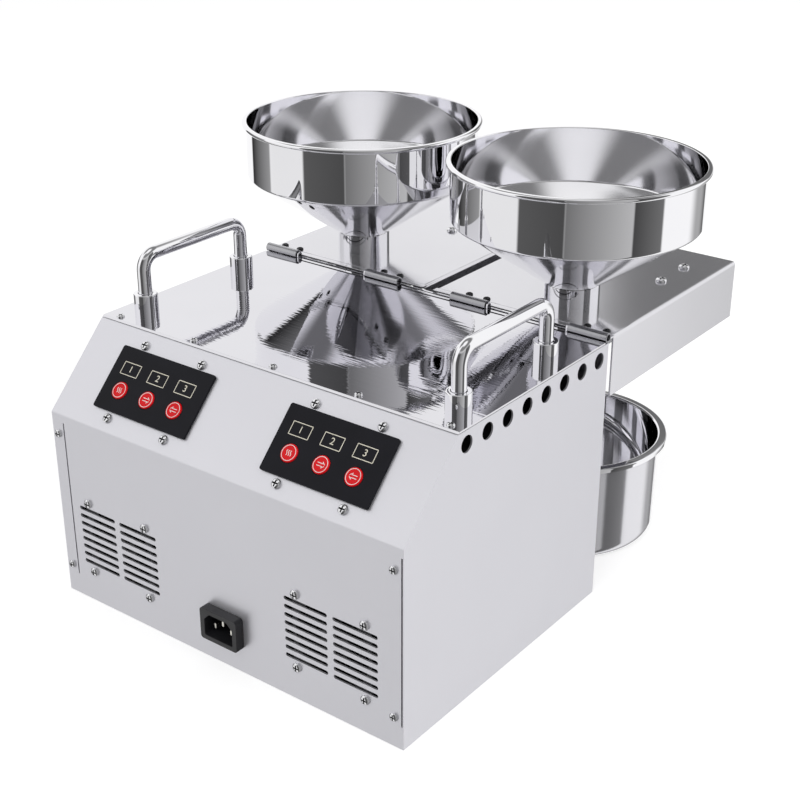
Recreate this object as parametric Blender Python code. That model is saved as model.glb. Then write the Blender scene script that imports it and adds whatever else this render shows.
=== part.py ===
"""Screw oil press with two heads: a sheet-steel case with a sloping control front, and behind it
two pressing heads under hinged covers, each with a hopper above and a pot below.

Metres, +Z up. The origin is the centre of the case's underside. The front, with the mains inlet,
faces -Y, and the heads stand out at +Y. Left and right are as seen from the front.
"""

import math

import bmesh
import bpy
from mathutils import Matrix, Vector

MM = 0.001

# Case
CASE_WIDTH = 296 * MM
CASE_DEPTH = 220 * MM
CASE_HEIGHT = 192 * MM
FRONT_HEIGHT = 139 * MM
SLOPE_RUN = 52.3 * MM
SHEET = 1.2 * MM
BEND_RADIUS = 1.6 * MM

# Clearances: between fixed pieces, round a piece that turns, and how far a cutter overruns
FIT = 0.3 * MM
RUNNING_GAP = 0.5 * MM
OVERRUN = 2 * MM

# Pressing heads
HEAD_INSET = 56 * MM
HOPPER_SETBACK = 45 * MM
AXIS_DROP = 27.5 * MM

# Covers over the heads
COVER_GAP = 6 * MM
COVER_LENGTH = 179.5 * MM
COVER_RISE = 1.5 * MM
COVER_HEIGHT = 43.5 * MM
COVER_SPLIT = 9 * MM

# Hoppers
HOPPER_GAP = 7 * MM
BEAD_RADIUS = 1.65 * MM
BAND_HEIGHT = 38.55 * MM
CONE_HEIGHT = 45 * MM
HOPPER_WALL = 0.8 * MM
SLEEVE_RADIUS = 19.3 * MM
SLEEVE_HEIGHT = 14 * MM

# Pots
POT_GAP = 8.5 * MM
POT_FLANGE = 5.8 * MM
POT_HEIGHT = 78.3 * MM
POT_SETBACK = 7 * MM

# Barrels and screws
BARREL_RADIUS = 19 * MM
BORE_RADIUS = 13.5 * MM
BARREL_SHORTFALL = 27.8 * MM

# Places worked out from those sizes
HALF_WIDTH = CASE_WIDTH / 2
FRONT_Y = -CASE_DEPTH / 2
BACK_Y = CASE_DEPTH / 2
COVER_TOP = CASE_HEIGHT + COVER_RISE
COVER_BOTTOM = COVER_TOP - COVER_HEIGHT
COVER_NEAR = BACK_Y + COVER_GAP
COVER_FAR = COVER_NEAR + COVER_LENGTH
BARREL_LENGTH = COVER_LENGTH - BARREL_SHORTFALL
HEAD_X = HALF_WIDTH - HEAD_INSET
HOPPER_Y = BACK_Y + HOPPER_SETBACK
AXIS_Z = COVER_TOP - AXIS_DROP
BAND_RADIUS = HEAD_X - HOPPER_GAP / 2 - 2 * BEAD_RADIUS + FIT
POT_X = (COVER_SPLIT / 2 + HALF_WIDTH) / 2
POT_RADIUS = POT_X - POT_GAP / 2 - POT_FLANGE
SLOPE_RISE = CASE_HEIGHT - FRONT_HEIGHT
SLOPE_ANGLE = math.atan2(SLOPE_RISE, SLOPE_RUN)
SIDES = (("left", -1), ("right", 1))

# Facets round a circle
SMALL_COUNT = 6
COARSE_COUNT = 12
ROUND_COUNT = 16
FINE_COUNT = 28


def clear_scene():
    for obj in list(bpy.data.objects):
        bpy.data.objects.remove(obj, do_unlink=True)


def make_material(name, colour, metallic, roughness):
    made = bpy.data.materials.new(name)
    made.use_nodes = True
    shader = made.node_tree.nodes["Principled BSDF"]
    shader.inputs["Base Color"].default_value = (*colour, 1)
    shader.inputs["Metallic"].default_value = metallic
    shader.inputs["Roughness"].default_value = roughness
    return made


def mesh_object(name, bm, material):
    """The bmesh as an object with its faces out, smooth but for its sharp edges."""
    bmesh.ops.recalc_face_normals(bm, faces=bm.faces)
    mesh = bpy.data.meshes.new(name)
    bm.to_mesh(mesh)
    bm.free()
    mesh.shade_smooth()
    mesh.set_sharp_from_angle(angle=math.radians(35))
    obj = bpy.data.objects.new(name, mesh)
    bpy.context.scene.collection.objects.link(obj)
    if material:
        mesh.materials.append(material)
    return obj


def hide_helper(obj):
    obj.hide_render = True
    obj.display_type = "WIRE"
    return obj


def boolean(obj, other, operation):
    modifier = obj.modifiers.new(other.name, "BOOLEAN")
    modifier.operation = operation
    modifier.object = hide_helper(other)
    return obj


def cut(obj, *cutters):
    for cutter in cutters:
        boolean(obj, cutter, "DIFFERENCE")
    return obj


def fuse(obj, *others):
    for other in others:
        boolean(obj, other, "UNION")
    return obj


def set_origin(obj, point):
    """Moves the object's origin, and leaves its shape where it is."""
    obj.data.transform(Matrix.Translation(-Vector(point)))
    obj.location = point
    return obj


def bend_corners(points, radius, steps=3):
    """The open or closed outline's inner corners turned into arcs of this radius."""
    bent = []
    for i, point in enumerate(points):
        here = Vector(point)
        if i in (0, len(points) - 1):
            bent.append(tuple(here))
            continue
        before = (Vector(points[i - 1]) - here).normalized()
        after = (Vector(points[i + 1]) - here).normalized()
        half = before.angle(after) / 2
        centre = here + (before + after).normalized() * radius / math.sin(half)
        start = here + before * radius / math.tan(half) - centre
        end = here + after * radius / math.tan(half) - centre
        turn = start.angle_signed(end)
        for step in range(steps + 1):
            bent.append(tuple(centre + Matrix.Rotation(-turn * step / steps, 2) @ start))
    return bent


def thicken(points, thickness):
    """A closed outline of a strip that has its outer face on these points and its wall to their left."""
    normals = []
    for a, b in zip(points, points[1:]):
        along = (Vector(b) - Vector(a)).normalized()
        normals.append(Vector((-along.y, along.x)))
    inner = []
    for i, point in enumerate(points):
        first = normals[max(i - 1, 0)]
        second = normals[min(i, len(normals) - 1)]
        mitre = (first + second).normalized()
        inner.append(tuple(Vector(point) + mitre * thickness / mitre.dot(first)))
    return [tuple(point) for point in points] + inner[::-1]


def arc(centre, radius, start, end, steps):
    """Points on an arc, angles in degrees."""
    points = []
    for step in range(steps + 1):
        angle = math.radians(start + (end - start) * step / steps)
        points.append((centre[0] + radius * math.cos(angle), centre[1] + radius * math.sin(angle)))
    return points


def rounded_rectangle(centre, width, height, radius, steps=3):
    points = []
    for sx, sy, start in ((1, 1, 0), (-1, 1, 90), (-1, -1, 180), (1, -1, 270)):
        corner = (centre[0] + sx * (width / 2 - radius), centre[1] + sy * (height / 2 - radius))
        points += arc(corner, radius, start, start + 90, steps)
    return points


def rectangle(centre, width, height):
    x, y = centre
    return [(x + sx * width / 2, y + sy * height / 2) for sx, sy in ((-1, -1), (1, -1), (1, 1), (-1, 1))]


def circle(centre, radius, segments):
    return arc(centre, radius, 0, 360, segments)[:-1]


def add_prism(bm, outline, low, high, axis):
    """A closed outline swept from low to high: (y, z) along X, (x, z) along Y, or (x, y) along Z."""
    def place(point, at):
        return {"X": (at, *point), "Y": (point[0], at, point[1]), "Z": (*point, at)}[axis]

    ends = [[bm.verts.new(place(point, at)) for point in outline] for at in (low, high)]
    for end in ends:
        bm.faces.new(end)
    for i in range(len(outline)):
        j = (i + 1) % len(outline)
        bm.faces.new((ends[0][i], ends[0][j], ends[1][j], ends[1][i]))


def prism(name, outline, low, high, axis, material=None):
    bm = bmesh.new()
    add_prism(bm, outline, low, high, axis)
    return mesh_object(name, bm, material)


def prisms(name, outlines, low, high, axis):
    """Several prisms in one helper."""
    bm = bmesh.new()
    for outline in outlines:
        add_prism(bm, outline, low, high, axis)
    return mesh_object(name, bm, None)


def block(name, low, high, material=None):
    """A box from its lowest to its highest corner."""
    outline = [(low[0], low[1]), (high[0], low[1]), (high[0], high[1]), (low[0], high[1])]
    return prism(name, outline, low[2], high[2], "Z", material)


def lathe(name, profile, segments, material=None, centre=(0, 0, 0), axis="Z"):
    """A closed profile of (radius, height) points turned about an axis through centre."""
    bm = bmesh.new()
    rings = []
    for radius, height in profile:
        if radius == 0:
            rings.append([bm.verts.new((0, 0, height))])
            continue
        ring = []
        for i in range(segments):
            angle = 2 * math.pi * i / segments
            ring.append(bm.verts.new((radius * math.cos(angle), radius * math.sin(angle), height)))
        rings.append(ring)
    for lower, upper in zip(rings, rings[1:] + rings[:1]):
        if len(lower) == len(upper) == 1:
            continue
        for i in range(segments):
            j = (i + 1) % segments
            corners = [lower[i % len(lower)], lower[j % len(lower)]]
            corners += [upper[j % len(upper)], upper[i % len(upper)]]
            bm.faces.new(list(dict.fromkeys(corners)))
    obj = mesh_object(name, bm, material)
    if axis == "Y":
        obj.data.transform(Matrix.Rotation(-math.pi / 2, 4, "X"))
    obj.location = centre
    return obj


def empty(name, location, rotation=(0, 0, 0)):
    obj = bpy.data.objects.new(name, None)
    obj.location = location
    obj.rotation_euler = rotation
    bpy.context.scene.collection.objects.link(obj)
    return obj


def ride_on(parent, *children):
    """Parents pieces that were made in the parent's own coordinates."""
    for child in children:
        child.parent = parent


# Case: base, sides, back, front and top

BASE_FLANGE = 10 * MM
CORNER_CUT = 3 * MM
AIR_HOLE_COUNT = 8
AIR_HOLE_RADIUS = 5.6 * MM
AIR_HOLE_PITCH = 21.3 * MM
AIR_HOLE_FIRST = 59.8 * MM
AIR_HOLE_DROP = 10.6 * MM
TOP_FLANGE = 14 * MM
SHANK_HOLE_RADIUS = 9 * MM
PANEL_INNER_X = HALF_WIDTH - SHEET - FIT
PANEL_TOP = CASE_HEIGHT - SHEET - FIT

# Air slots in front of the fans, in two columns each
FAN_INSET = 55.7 * MM
FAN_HEIGHT = 51.4 * MM
SLOT_COUNT = 8
SLOT_WIDTH = 34.4 * MM
SLOT_HEIGHT = 2.8 * MM
SLOT_PITCH = 5.95 * MM
SLOT_COLUMN = 19.4 * MM
FAN_X = HALF_WIDTH - FAN_INSET

# Long slit that the left side's fold comes through
SLIT_INSET = 10.8 * MM
SLIT_WIDTH = 1.1 * MM
SLIT_BOTTOM = 16.3 * MM
SLIT_TOP = 133 * MM

# Mains inlet
INLET_X = 4.1 * MM
INLET_Z = 30.5 * MM
INLET_WIDTH = 31.8 * MM
INLET_HEIGHT = 23.3 * MM
INLET_STAND = 7 * MM
INLET_BODY_WIDTH = 27 * MM
INLET_BODY_HEIGHT = 19.5 * MM
INLET_BODY_DEPTH = 15 * MM
INLET_CORNER = 2 * MM
SOCKET_WIDTH = 24 * MM
SOCKET_HEIGHT = 16.4 * MM
SOCKET_CHAMFER = 4.4 * MM
SOCKET_DEPTH = 16.5 * MM
PIN_WIDTH = 2 * MM
PIN_HEIGHT = 4 * MM
PIN_PITCH = 7 * MM
PIN_DROP = 2 * MM
PIN_RECESS = 4.6 * MM
PIN_SEAT = 3 * MM

# Hinge of the covers
KNUCKLE_RADIUS = 3.3 * MM
KNUCKLE_LENGTH = 29.6 * MM
KNUCKLE_INSET = 18.5 * MM
ROD_RADIUS = 0.6 * MM
EAR_RADIUS = 2.2 * MM
ROD_INSET = 0.5 * MM
ROD_RISE = 2.1 * MM
LEAF_REACH = 15.5 * MM
LEAF_THICKNESS = 1 * MM
LEAF_INSET = 3.2 * MM
ROD_Y = BACK_Y - ROD_INSET
ROD_Z = CASE_HEIGHT + ROD_RISE
OUTER_KNUCKLE_X = HALF_WIDTH - KNUCKLE_LENGTH / 2
INNER_KNUCKLE_X = COVER_SPLIT / 2 + KNUCKLE_INSET + KNUCKLE_LENGTH / 2


def make_base(steel):
    """The floor of the case, with its two side flanges turned up."""
    reach = PANEL_INNER_X
    spine = [(-reach, BASE_FLANGE), (-reach, 0), (reach, 0), (reach, BASE_FLANGE)]
    outline = thicken(bend_corners(spine, BEND_RADIUS), SHEET)
    prism("base_plate", outline, FRONT_Y + SHEET + FIT, BACK_Y - SHEET - FIT, "Y", steel)


def make_side(side, sign, steel):
    """A flat side with a row of air holes under its top edge."""
    outline = [
        (FRONT_Y + CORNER_CUT, 0),
        (BACK_Y, 0),
        (BACK_Y, PANEL_TOP),
        (FRONT_Y + SLOPE_RUN * (PANEL_TOP - FRONT_HEIGHT) / SLOPE_RISE, PANEL_TOP),
        (FRONT_Y, FRONT_HEIGHT),
        (FRONT_Y, CORNER_CUT),
    ]
    low, high = sorted((sign * (HALF_WIDTH - SHEET), sign * HALF_WIDTH))
    panel = prism(f"side_panel_{side}", outline, low, high, "X", steel)
    holes = []
    for i in range(AIR_HOLE_COUNT):
        centre = (FRONT_Y + AIR_HOLE_FIRST + i * AIR_HOLE_PITCH, CASE_HEIGHT - AIR_HOLE_DROP)
        holes.append(circle(centre, AIR_HOLE_RADIUS, COARSE_COUNT))
    cut(panel, prisms(f"air_holes_{side}", holes, low - OVERRUN, high + OVERRUN, "X"))


def make_back(steel):
    """The flat back, with a hole for each screw's shank."""
    reach = PANEL_INNER_X
    outline = [(-reach, 0), (reach, 0), (reach, PANEL_TOP), (-reach, PANEL_TOP)]
    panel = prism("back_panel", outline, BACK_Y - SHEET, BACK_Y, "Y", steel)
    holes = [circle((sign * HEAD_X, AXIS_Z), SHANK_HOLE_RADIUS, ROUND_COUNT) for _, sign in SIDES]
    cut(panel, prisms("shank_holes", holes, BACK_Y - SHEET - OVERRUN, BACK_Y + OVERRUN, "Y"))


def slot_outlines():
    """Two columns of air slots in front of each fan."""
    outlines = []
    for _, sign in SIDES:
        for column in (-1, 1):
            x = sign * FAN_X + column * SLOT_COLUMN
            for i in range(SLOT_COUNT):
                z = FAN_HEIGHT + (i - (SLOT_COUNT - 1) / 2) * SLOT_PITCH
                outlines.append(rectangle((x, z), SLOT_WIDTH, SLOT_HEIGHT))
    return outlines


def make_front(steel):
    """One bent sheet: the upright front, the slope and a flange that the top is screwed to."""
    flange_y = FRONT_Y + SLOPE_RUN * (PANEL_TOP - FRONT_HEIGHT) / SLOPE_RISE
    spine = [
        (FRONT_Y, 0),
        (FRONT_Y, FRONT_HEIGHT),
        (flange_y, PANEL_TOP),
        (flange_y + TOP_FLANGE, PANEL_TOP),
    ]
    outline = thicken(bend_corners(spine, BEND_RADIUS)[::-1], SHEET)
    reach = PANEL_INNER_X
    panel = prism("front_panel", outline, -reach, reach, "X", steel)
    near, far = FRONT_Y - OVERRUN, FRONT_Y + SHEET + OVERRUN
    inlet = rounded_rectangle(
        (INLET_X, INLET_Z), INLET_BODY_WIDTH + 2 * FIT, INLET_BODY_HEIGHT + 2 * FIT, INLET_CORNER
    )
    slit_centre = (SLIT_INSET - HALF_WIDTH, (SLIT_BOTTOM + SLIT_TOP) / 2)
    slit = rectangle(slit_centre, SLIT_WIDTH, SLIT_TOP - SLIT_BOTTOM)
    cut(panel, prisms("front_openings", slot_outlines() + [inlet, slit], near, far, "Y"))
    return panel


def ear_places():
    """Each rod ear's lowest and highest X: one beside each knuckle, on the head's side of it."""
    places = []
    for _, sign in SIDES:
        for knuckle, towards in ((OUTER_KNUCKLE_X, -1), (INNER_KNUCKLE_X, 1)):
            near = knuckle + towards * (KNUCKLE_LENGTH / 2 + RUNNING_GAP)
            places.append(sorted((sign * near, sign * (near + towards * SHEET))))
    return places


def make_top(steel):
    """The polished top, notched for the hinge knuckles, with four ears that hold the rod."""
    slope_y = FRONT_Y + SLOPE_RUN
    under_y = slope_y - SHEET * SLOPE_RUN / SLOPE_RISE
    outline = [
        (under_y, CASE_HEIGHT - SHEET),
        (BACK_Y, CASE_HEIGHT - SHEET),
        (BACK_Y, CASE_HEIGHT),
        (slope_y, CASE_HEIGHT),
    ]
    plate = prism("top_plate", outline, -HALF_WIDTH, HALF_WIDTH, "X", steel)
    notch_y = ROD_Y - KNUCKLE_RADIUS - RUNNING_GAP
    notches = bmesh.new()
    for _, sign in SIDES:
        for knuckle in (OUTER_KNUCKLE_X, INNER_KNUCKLE_X):
            low = sign * knuckle - KNUCKLE_LENGTH / 2 - RUNNING_GAP
            high = sign * knuckle + KNUCKLE_LENGTH / 2 + RUNNING_GAP
            notch = [
                (low, notch_y),
                (high, notch_y),
                (high, BACK_Y + OVERRUN),
                (low, BACK_Y + OVERRUN),
            ]
            add_prism(notches, notch, CASE_HEIGHT - SHEET - OVERRUN, CASE_HEIGHT + OVERRUN, "Z")
    cut(plate, mesh_object("knuckle_notches", notches, None))
    ear = arc((ROD_Y, ROD_Z), EAR_RADIUS, 0, 180, COARSE_COUNT // 2)
    foot = CASE_HEIGHT - SHEET
    ear += [(ROD_Y - EAR_RADIUS, foot), (BACK_Y, foot), (ROD_Y + EAR_RADIUS, CASE_HEIGHT)]
    ears = bmesh.new()
    for low, high in ear_places():
        add_prism(ears, ear, low, high, "X")
    fuse(plate, mesh_object("rod_ears", ears, None))
    hole = circle((ROD_Y, ROD_Z), ROD_RADIUS + FIT, COARSE_COUNT)
    cut(plate, prism("rod_hole", hole, -HALF_WIDTH - OVERRUN, HALF_WIDTH + OVERRUN, "X"))


def make_inlet(black, brass):
    """A three-pin mains inlet: a flange, a body through the front and a socket with blades."""
    front = FRONT_Y - INLET_STAND
    flange = rounded_rectangle((INLET_X, INLET_Z), INLET_WIDTH, INLET_HEIGHT, INLET_CORNER)
    inlet = prism("inlet_socket", flange, front, FRONT_Y - FIT, "Y", black)
    body = rounded_rectangle((INLET_X, INLET_Z), INLET_BODY_WIDTH, INLET_BODY_HEIGHT, INLET_CORNER)
    fuse(inlet, prism("inlet_body", body, front + INLET_STAND / 2, FRONT_Y + INLET_BODY_DEPTH, "Y"))
    w, h, c = SOCKET_WIDTH / 2, SOCKET_HEIGHT / 2, SOCKET_CHAMFER
    socket = [(-w, -h), (w, -h), (w, h - c), (w - c, h), (c - w, h), (-w, h - c)]
    socket = [(INLET_X + x, INLET_Z + z) for x, z in socket]
    cut(inlet, prism("socket_hollow", socket, front - OVERRUN, front + SOCKET_DEPTH, "Y"))
    places = {
        "inlet_pin_line": (-PIN_PITCH, -PIN_DROP),
        "inlet_pin_earth": (0, PIN_DROP),
        "inlet_pin_neutral": (PIN_PITCH, -PIN_DROP),
    }
    floor = front + SOCKET_DEPTH
    for name, (x, z) in places.items():
        centre = (INLET_X + x, INLET_Z + z)
        blade = rounded_rectangle(centre, PIN_WIDTH, PIN_HEIGHT, PIN_WIDTH / 4, 1)
        prism(name, blade, front + PIN_RECESS, floor + PIN_SEAT, "Y", brass)
        seat = rounded_rectangle(centre, PIN_WIDTH + 2 * FIT, PIN_HEIGHT + 2 * FIT, PIN_WIDTH / 4, 1)
        cut(inlet, prism(f"{name}_seat", seat, floor - OVERRUN, floor + PIN_SEAT + FIT, "Y"))


# Control panels on the slope, in slope coordinates: X along, Y up the slope, Z out of it

PANEL_INSET = 74.5 * MM
PANEL_WIDTH = 83.3 * MM
PANEL_HEIGHT = 45.4 * MM
PANEL_RISE = 36.2 * MM
PANEL_THICKNESS = 1.6 * MM
PANEL_CORNER = 1.5 * MM
BUTTON_COUNT = 3
BUTTON_PITCH = 24.8 * MM
BUTTON_SHIFT = -1.1 * MM
BUTTON_DROP = 7.5 * MM
BUTTON_RADIUS = 6 * MM
BUTTON_PROUD = 0.9 * MM
BUTTON_DEPTH = 4.4 * MM
BUTTON_EDGE = 0.5 * MM
BUTTON_TRAVEL = 1 * MM
KEY_SCREW_X = 25.8 * MM
KEY_SCREW_Y = 27 * MM
KEY_BOARD_WIDTH = 62 * MM
KEY_BOARD_HEIGHT = 60 * MM
KEY_BOARD_THICKNESS = 1.6 * MM
KEY_BOARD_DEPTH = 9 * MM
KEY_POST_RADIUS = 2.5 * MM
SWITCH_RADIUS = 3 * MM
PANEL_X = HALF_WIDTH - PANEL_INSET


def button_places(sign):
    places = []
    for i in range(BUTTON_COUNT):
        x = sign * PANEL_X + BUTTON_SHIFT + (i - (BUTTON_COUNT - 1) / 2) * BUTTON_PITCH
        places.append((x, PANEL_RISE - BUTTON_DROP))
    return places


def make_controls(side, sign, slope, front_panel, black, red, green):
    """A black panel with three push buttons, and the key board that works under them."""
    bores = [circle(place, BUTTON_RADIUS + FIT, COARSE_COUNT) for place in button_places(sign)]
    outline = rounded_rectangle((sign * PANEL_X, PANEL_RISE), PANEL_WIDTH, PANEL_HEIGHT, PANEL_CORNER)
    panel = prism(f"control_panel_{side}", outline, FIT, FIT + PANEL_THICKNESS, "Z", black)
    bore = prisms(f"button_bores_{side}", bores, -SHEET - OVERRUN, FIT + PANEL_THICKNESS + OVERRUN, "Z")
    cut(panel, bore)
    cut(front_panel, bore)
    ride_on(slope, panel, bore)
    top = FIT + PANEL_THICKNESS + BUTTON_PROUD
    under = top - BUTTON_DEPTH
    profile = [
        (0, under),
        (BUTTON_RADIUS, under),
        (BUTTON_RADIUS, top - BUTTON_EDGE),
        (BUTTON_RADIUS - BUTTON_EDGE, top),
        (0, top),
    ]
    for i, (x, y) in enumerate(button_places(sign)):
        button = lathe(f"button_{side}_{i + 1}", profile, COARSE_COUNT, red, (x, y, 0))
        ride_on(slope, button)
    board_top = -SHEET - KEY_BOARD_DEPTH
    board_outline = rounded_rectangle(
        (sign * PANEL_X, PANEL_RISE), KEY_BOARD_WIDTH, KEY_BOARD_HEIGHT, PANEL_CORNER
    )
    board = prism(f"key_board_{side}", board_outline, board_top - KEY_BOARD_THICKNESS, board_top, "Z", green)
    posts = []
    for sx in (-1, 1):
        for sy in (-1, 1):
            place = (sign * PANEL_X + sx * KEY_SCREW_X, PANEL_RISE + sy * KEY_SCREW_Y)
            posts.append(circle(place, KEY_POST_RADIUS, SMALL_COUNT))
    switches = [circle(place, SWITCH_RADIUS, SMALL_COUNT) for place in button_places(sign)]
    inside = board_top - KEY_BOARD_THICKNESS / 2
    post = prisms(f"key_posts_{side}", posts, inside, -SHEET - FIT, "Z")
    switch = prisms(f"key_switches_{side}", switches, inside, under - BUTTON_TRAVEL - FIT, "Z")
    fuse(board, post, switch)
    ride_on(slope, board, post, switch)


# Carrying handles: a bent tube in two collars

HANDLE_TUBE_RADIUS = 4.75 * MM
HANDLE_PITCH = 94.5 * MM
HANDLE_RISE = 38.8 * MM
HANDLE_BEND = 10.5 * MM
HANDLE_INSET = 17.4 * MM
HANDLE_SHIFT = 13 * MM
COLLAR_RADIUS = 8.3 * MM
COLLAR_HEIGHT = 12.4 * MM
COLLAR_EDGE = 0.8 * MM


def make_handle(side, sign, chrome):
    """A staple-shaped tube handle standing on the top, and the two collars round its feet."""
    x = sign * (HALF_WIDTH - HANDLE_INSET)
    half, foot, rise, bend = HANDLE_PITCH / 2, FIT, HANDLE_RISE, HANDLE_BEND
    route = bend_corners([(-half, foot), (-half, rise), (half, rise), (half, foot)], bend, 5)
    curve = bpy.data.curves.new(f"handle_{side}", "CURVE")
    curve.dimensions = "3D"
    curve.bevel_depth = HANDLE_TUBE_RADIUS
    curve.bevel_resolution = 2
    curve.use_fill_caps = True
    spline = curve.splines.new("POLY")
    spline.points.add(len(route) - 1)
    for point, (y, z) in zip(spline.points, route):
        point.co = (0, y, z, 1)
    curve.materials.append(chrome)
    handle = bpy.data.objects.new(f"handle_{side}", curve)
    handle.location = (x, HANDLE_SHIFT, CASE_HEIGHT)
    bpy.context.scene.collection.objects.link(handle)
    inner, outer = HANDLE_TUBE_RADIUS + FIT, COLLAR_RADIUS
    top = FIT + COLLAR_HEIGHT
    profile = [
        (inner, FIT),
        (outer, FIT),
        (outer, top - COLLAR_EDGE),
        (outer - COLLAR_EDGE, top),
        (inner, top),
    ]
    for end, shift in (("front", -half), ("rear", half)):
        centre = (x, HANDLE_SHIFT + shift, CASE_HEIGHT)
        lathe(f"handle_collar_{side}_{end}", profile, COARSE_COUNT, chrome, centre)


# Covers over the heads, with their hinge knuckles, hopper sleeves and heat shields

COVER_BEND = 2.4 * MM
ARCH_RADIUS = 21 * MM
SPOUT_RADIUS = SLEEVE_RADIUS - SHEET - FIT
SHIELD_WIDTH = 78 * MM
SHIELD_LENGTH = 48 * MM
SHIELD_FLANGE = 9 * MM
SHIELD_SHEET = 1 * MM
SHIELD_INSET = 53 * MM
NOTCH_RADIUS = 8.6 * MM
NOTCH_RISE = 0.8 * MM
NOTCH_TURN = math.radians(18)
CONE_ANGLE = math.atan2(CONE_HEIGHT, BAND_RADIUS - SLEEVE_RADIUS)


def cover_span(sign):
    """The lowest and highest X of a cover."""
    return sorted((sign * COVER_SPLIT / 2, sign * HALF_WIDTH))


def make_hinge_rod(chrome):
    """One rod through the top's four ears and all four knuckles."""
    prism("hinge_rod", circle((ROD_Y, ROD_Z), ROD_RADIUS, COARSE_COUNT), -HALF_WIDTH, HALF_WIDTH, "X", chrome)


def make_knuckle(name, centre_x, chrome):
    """A knuckle that turns on the rod, with the leaf that is screwed under the cover's top."""
    low, high = centre_x - KNUCKLE_LENGTH / 2, centre_x + KNUCKLE_LENGTH / 2
    knuckle = prism(name, circle((ROD_Y, ROD_Z), KNUCKLE_RADIUS, ROUND_COUNT), low, high, "X", chrome)
    leaf_top = COVER_TOP - SHEET - FIT
    leaf = block(
        f"{name}_leaf",
        (low + LEAF_INSET, ROD_Y, leaf_top - LEAF_THICKNESS),
        (high - LEAF_INSET, ROD_Y + LEAF_REACH, leaf_top),
    )
    fuse(knuckle, leaf)
    bore = circle((ROD_Y, ROD_Z), ROD_RADIUS + RUNNING_GAP, COARSE_COUNT)
    cut(knuckle, prism(f"{name}_bore", bore, low - OVERRUN, high + OVERRUN, "X"))
    return set_origin(knuckle, (centre_x, ROD_Y, ROD_Z))


def make_cover(side, sign, steel, chrome):
    """A folded cover, open below and towards the case, and what is fastened to it."""
    low, high = cover_span(sign)
    spine = [(low, COVER_BOTTOM), (low, COVER_TOP), (high, COVER_TOP), (high, COVER_BOTTOM)]
    outer = bend_corners(spine, COVER_BEND)
    cover = prism(f"cover_{side}", outer, COVER_NEAR, COVER_FAR, "Y", steel)
    under = COVER_BOTTOM - OVERRUN
    inner_spine = [
        (low + SHEET, under),
        (low + SHEET, COVER_TOP - SHEET),
        (high - SHEET, COVER_TOP - SHEET),
        (high - SHEET, under),
    ]
    hollow = bend_corners(inner_spine, COVER_BEND - SHEET, 2)
    cut(cover, prism(f"cover_hollow_{side}", hollow, COVER_NEAR - OVERRUN, COVER_FAR - SHEET, "Y"))
    x = sign * HEAD_X
    arch = arc((x, AXIS_Z), ARCH_RADIUS, 0, 180, COARSE_COUNT)
    arch = [(x + ARCH_RADIUS, under), *arch, (x - ARCH_RADIUS, under)]
    cut(cover, prism(f"cover_arch_{side}", arch, COVER_FAR - SHEET - OVERRUN, COVER_FAR + OVERRUN, "Y"))
    spout_hole = circle((x, HOPPER_Y), SPOUT_RADIUS + FIT, FINE_COUNT)
    cut(cover, prism(f"spout_hole_{side}", spout_hole, COVER_TOP - SHEET - OVERRUN, COVER_TOP + OVERRUN, "Z"))
    set_origin(cover, (x, ROD_Y, ROD_Z))

    make_knuckle(f"hinge_knuckle_{side}_outer", sign * OUTER_KNUCKLE_X, chrome)
    make_knuckle(f"hinge_knuckle_{side}_inner", sign * INNER_KNUCKLE_X, chrome)

    shield_low, shield_high = x - SHIELD_WIDTH / 2, x + SHIELD_WIDTH / 2
    shield_top = COVER_TOP - SHEET - FIT
    shield_spine = [
        (shield_low, shield_top - SHIELD_FLANGE),
        (shield_low, shield_top),
        (shield_high, shield_top),
        (shield_high, shield_top - SHIELD_FLANGE),
    ]
    bent = thicken(bend_corners(shield_spine, BEND_RADIUS)[::-1], SHIELD_SHEET)
    shield_near = COVER_FAR - SHIELD_INSET - SHIELD_LENGTH / 2
    shield = prism(f"heat_shield_{side}", bent, shield_near, shield_near + SHIELD_LENGTH, "Y", steel)
    set_origin(shield, (x, ROD_Y, ROD_Z))

    seat_drop = FIT / math.cos(CONE_ANGLE)
    outer_top = SLEEVE_HEIGHT - seat_drop
    inner_top = outer_top - SHEET * math.tan(CONE_ANGLE)
    profile = [
        (SLEEVE_RADIUS - SHEET, FIT),
        (SLEEVE_RADIUS, FIT),
        (SLEEVE_RADIUS, outer_top),
        (SLEEVE_RADIUS - SHEET, inner_top),
    ]
    sleeve = lathe(f"hopper_sleeve_{side}", profile, FINE_COUNT, chrome, (x, HOPPER_Y, COVER_TOP))
    notch = prism(
        f"sleeve_notch_{side}", circle((0, 0), NOTCH_RADIUS, ROUND_COUNT), -SLEEVE_RADIUS - OVERRUN, 0, "Y"
    )
    notch.rotation_euler = (0, 0, NOTCH_TURN)
    notch.location = (x, HOPPER_Y, COVER_TOP + SLEEVE_HEIGHT + NOTCH_RISE)
    cut(sleeve, notch)


# Hoppers: a cone with a spout, and a band with a rolled rim welded on it

BAND_BEND = 2.5 * MM
BAND_SEAM = 3 * MM
SPOUT_BELOW_COVER = 5.5 * MM


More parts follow.
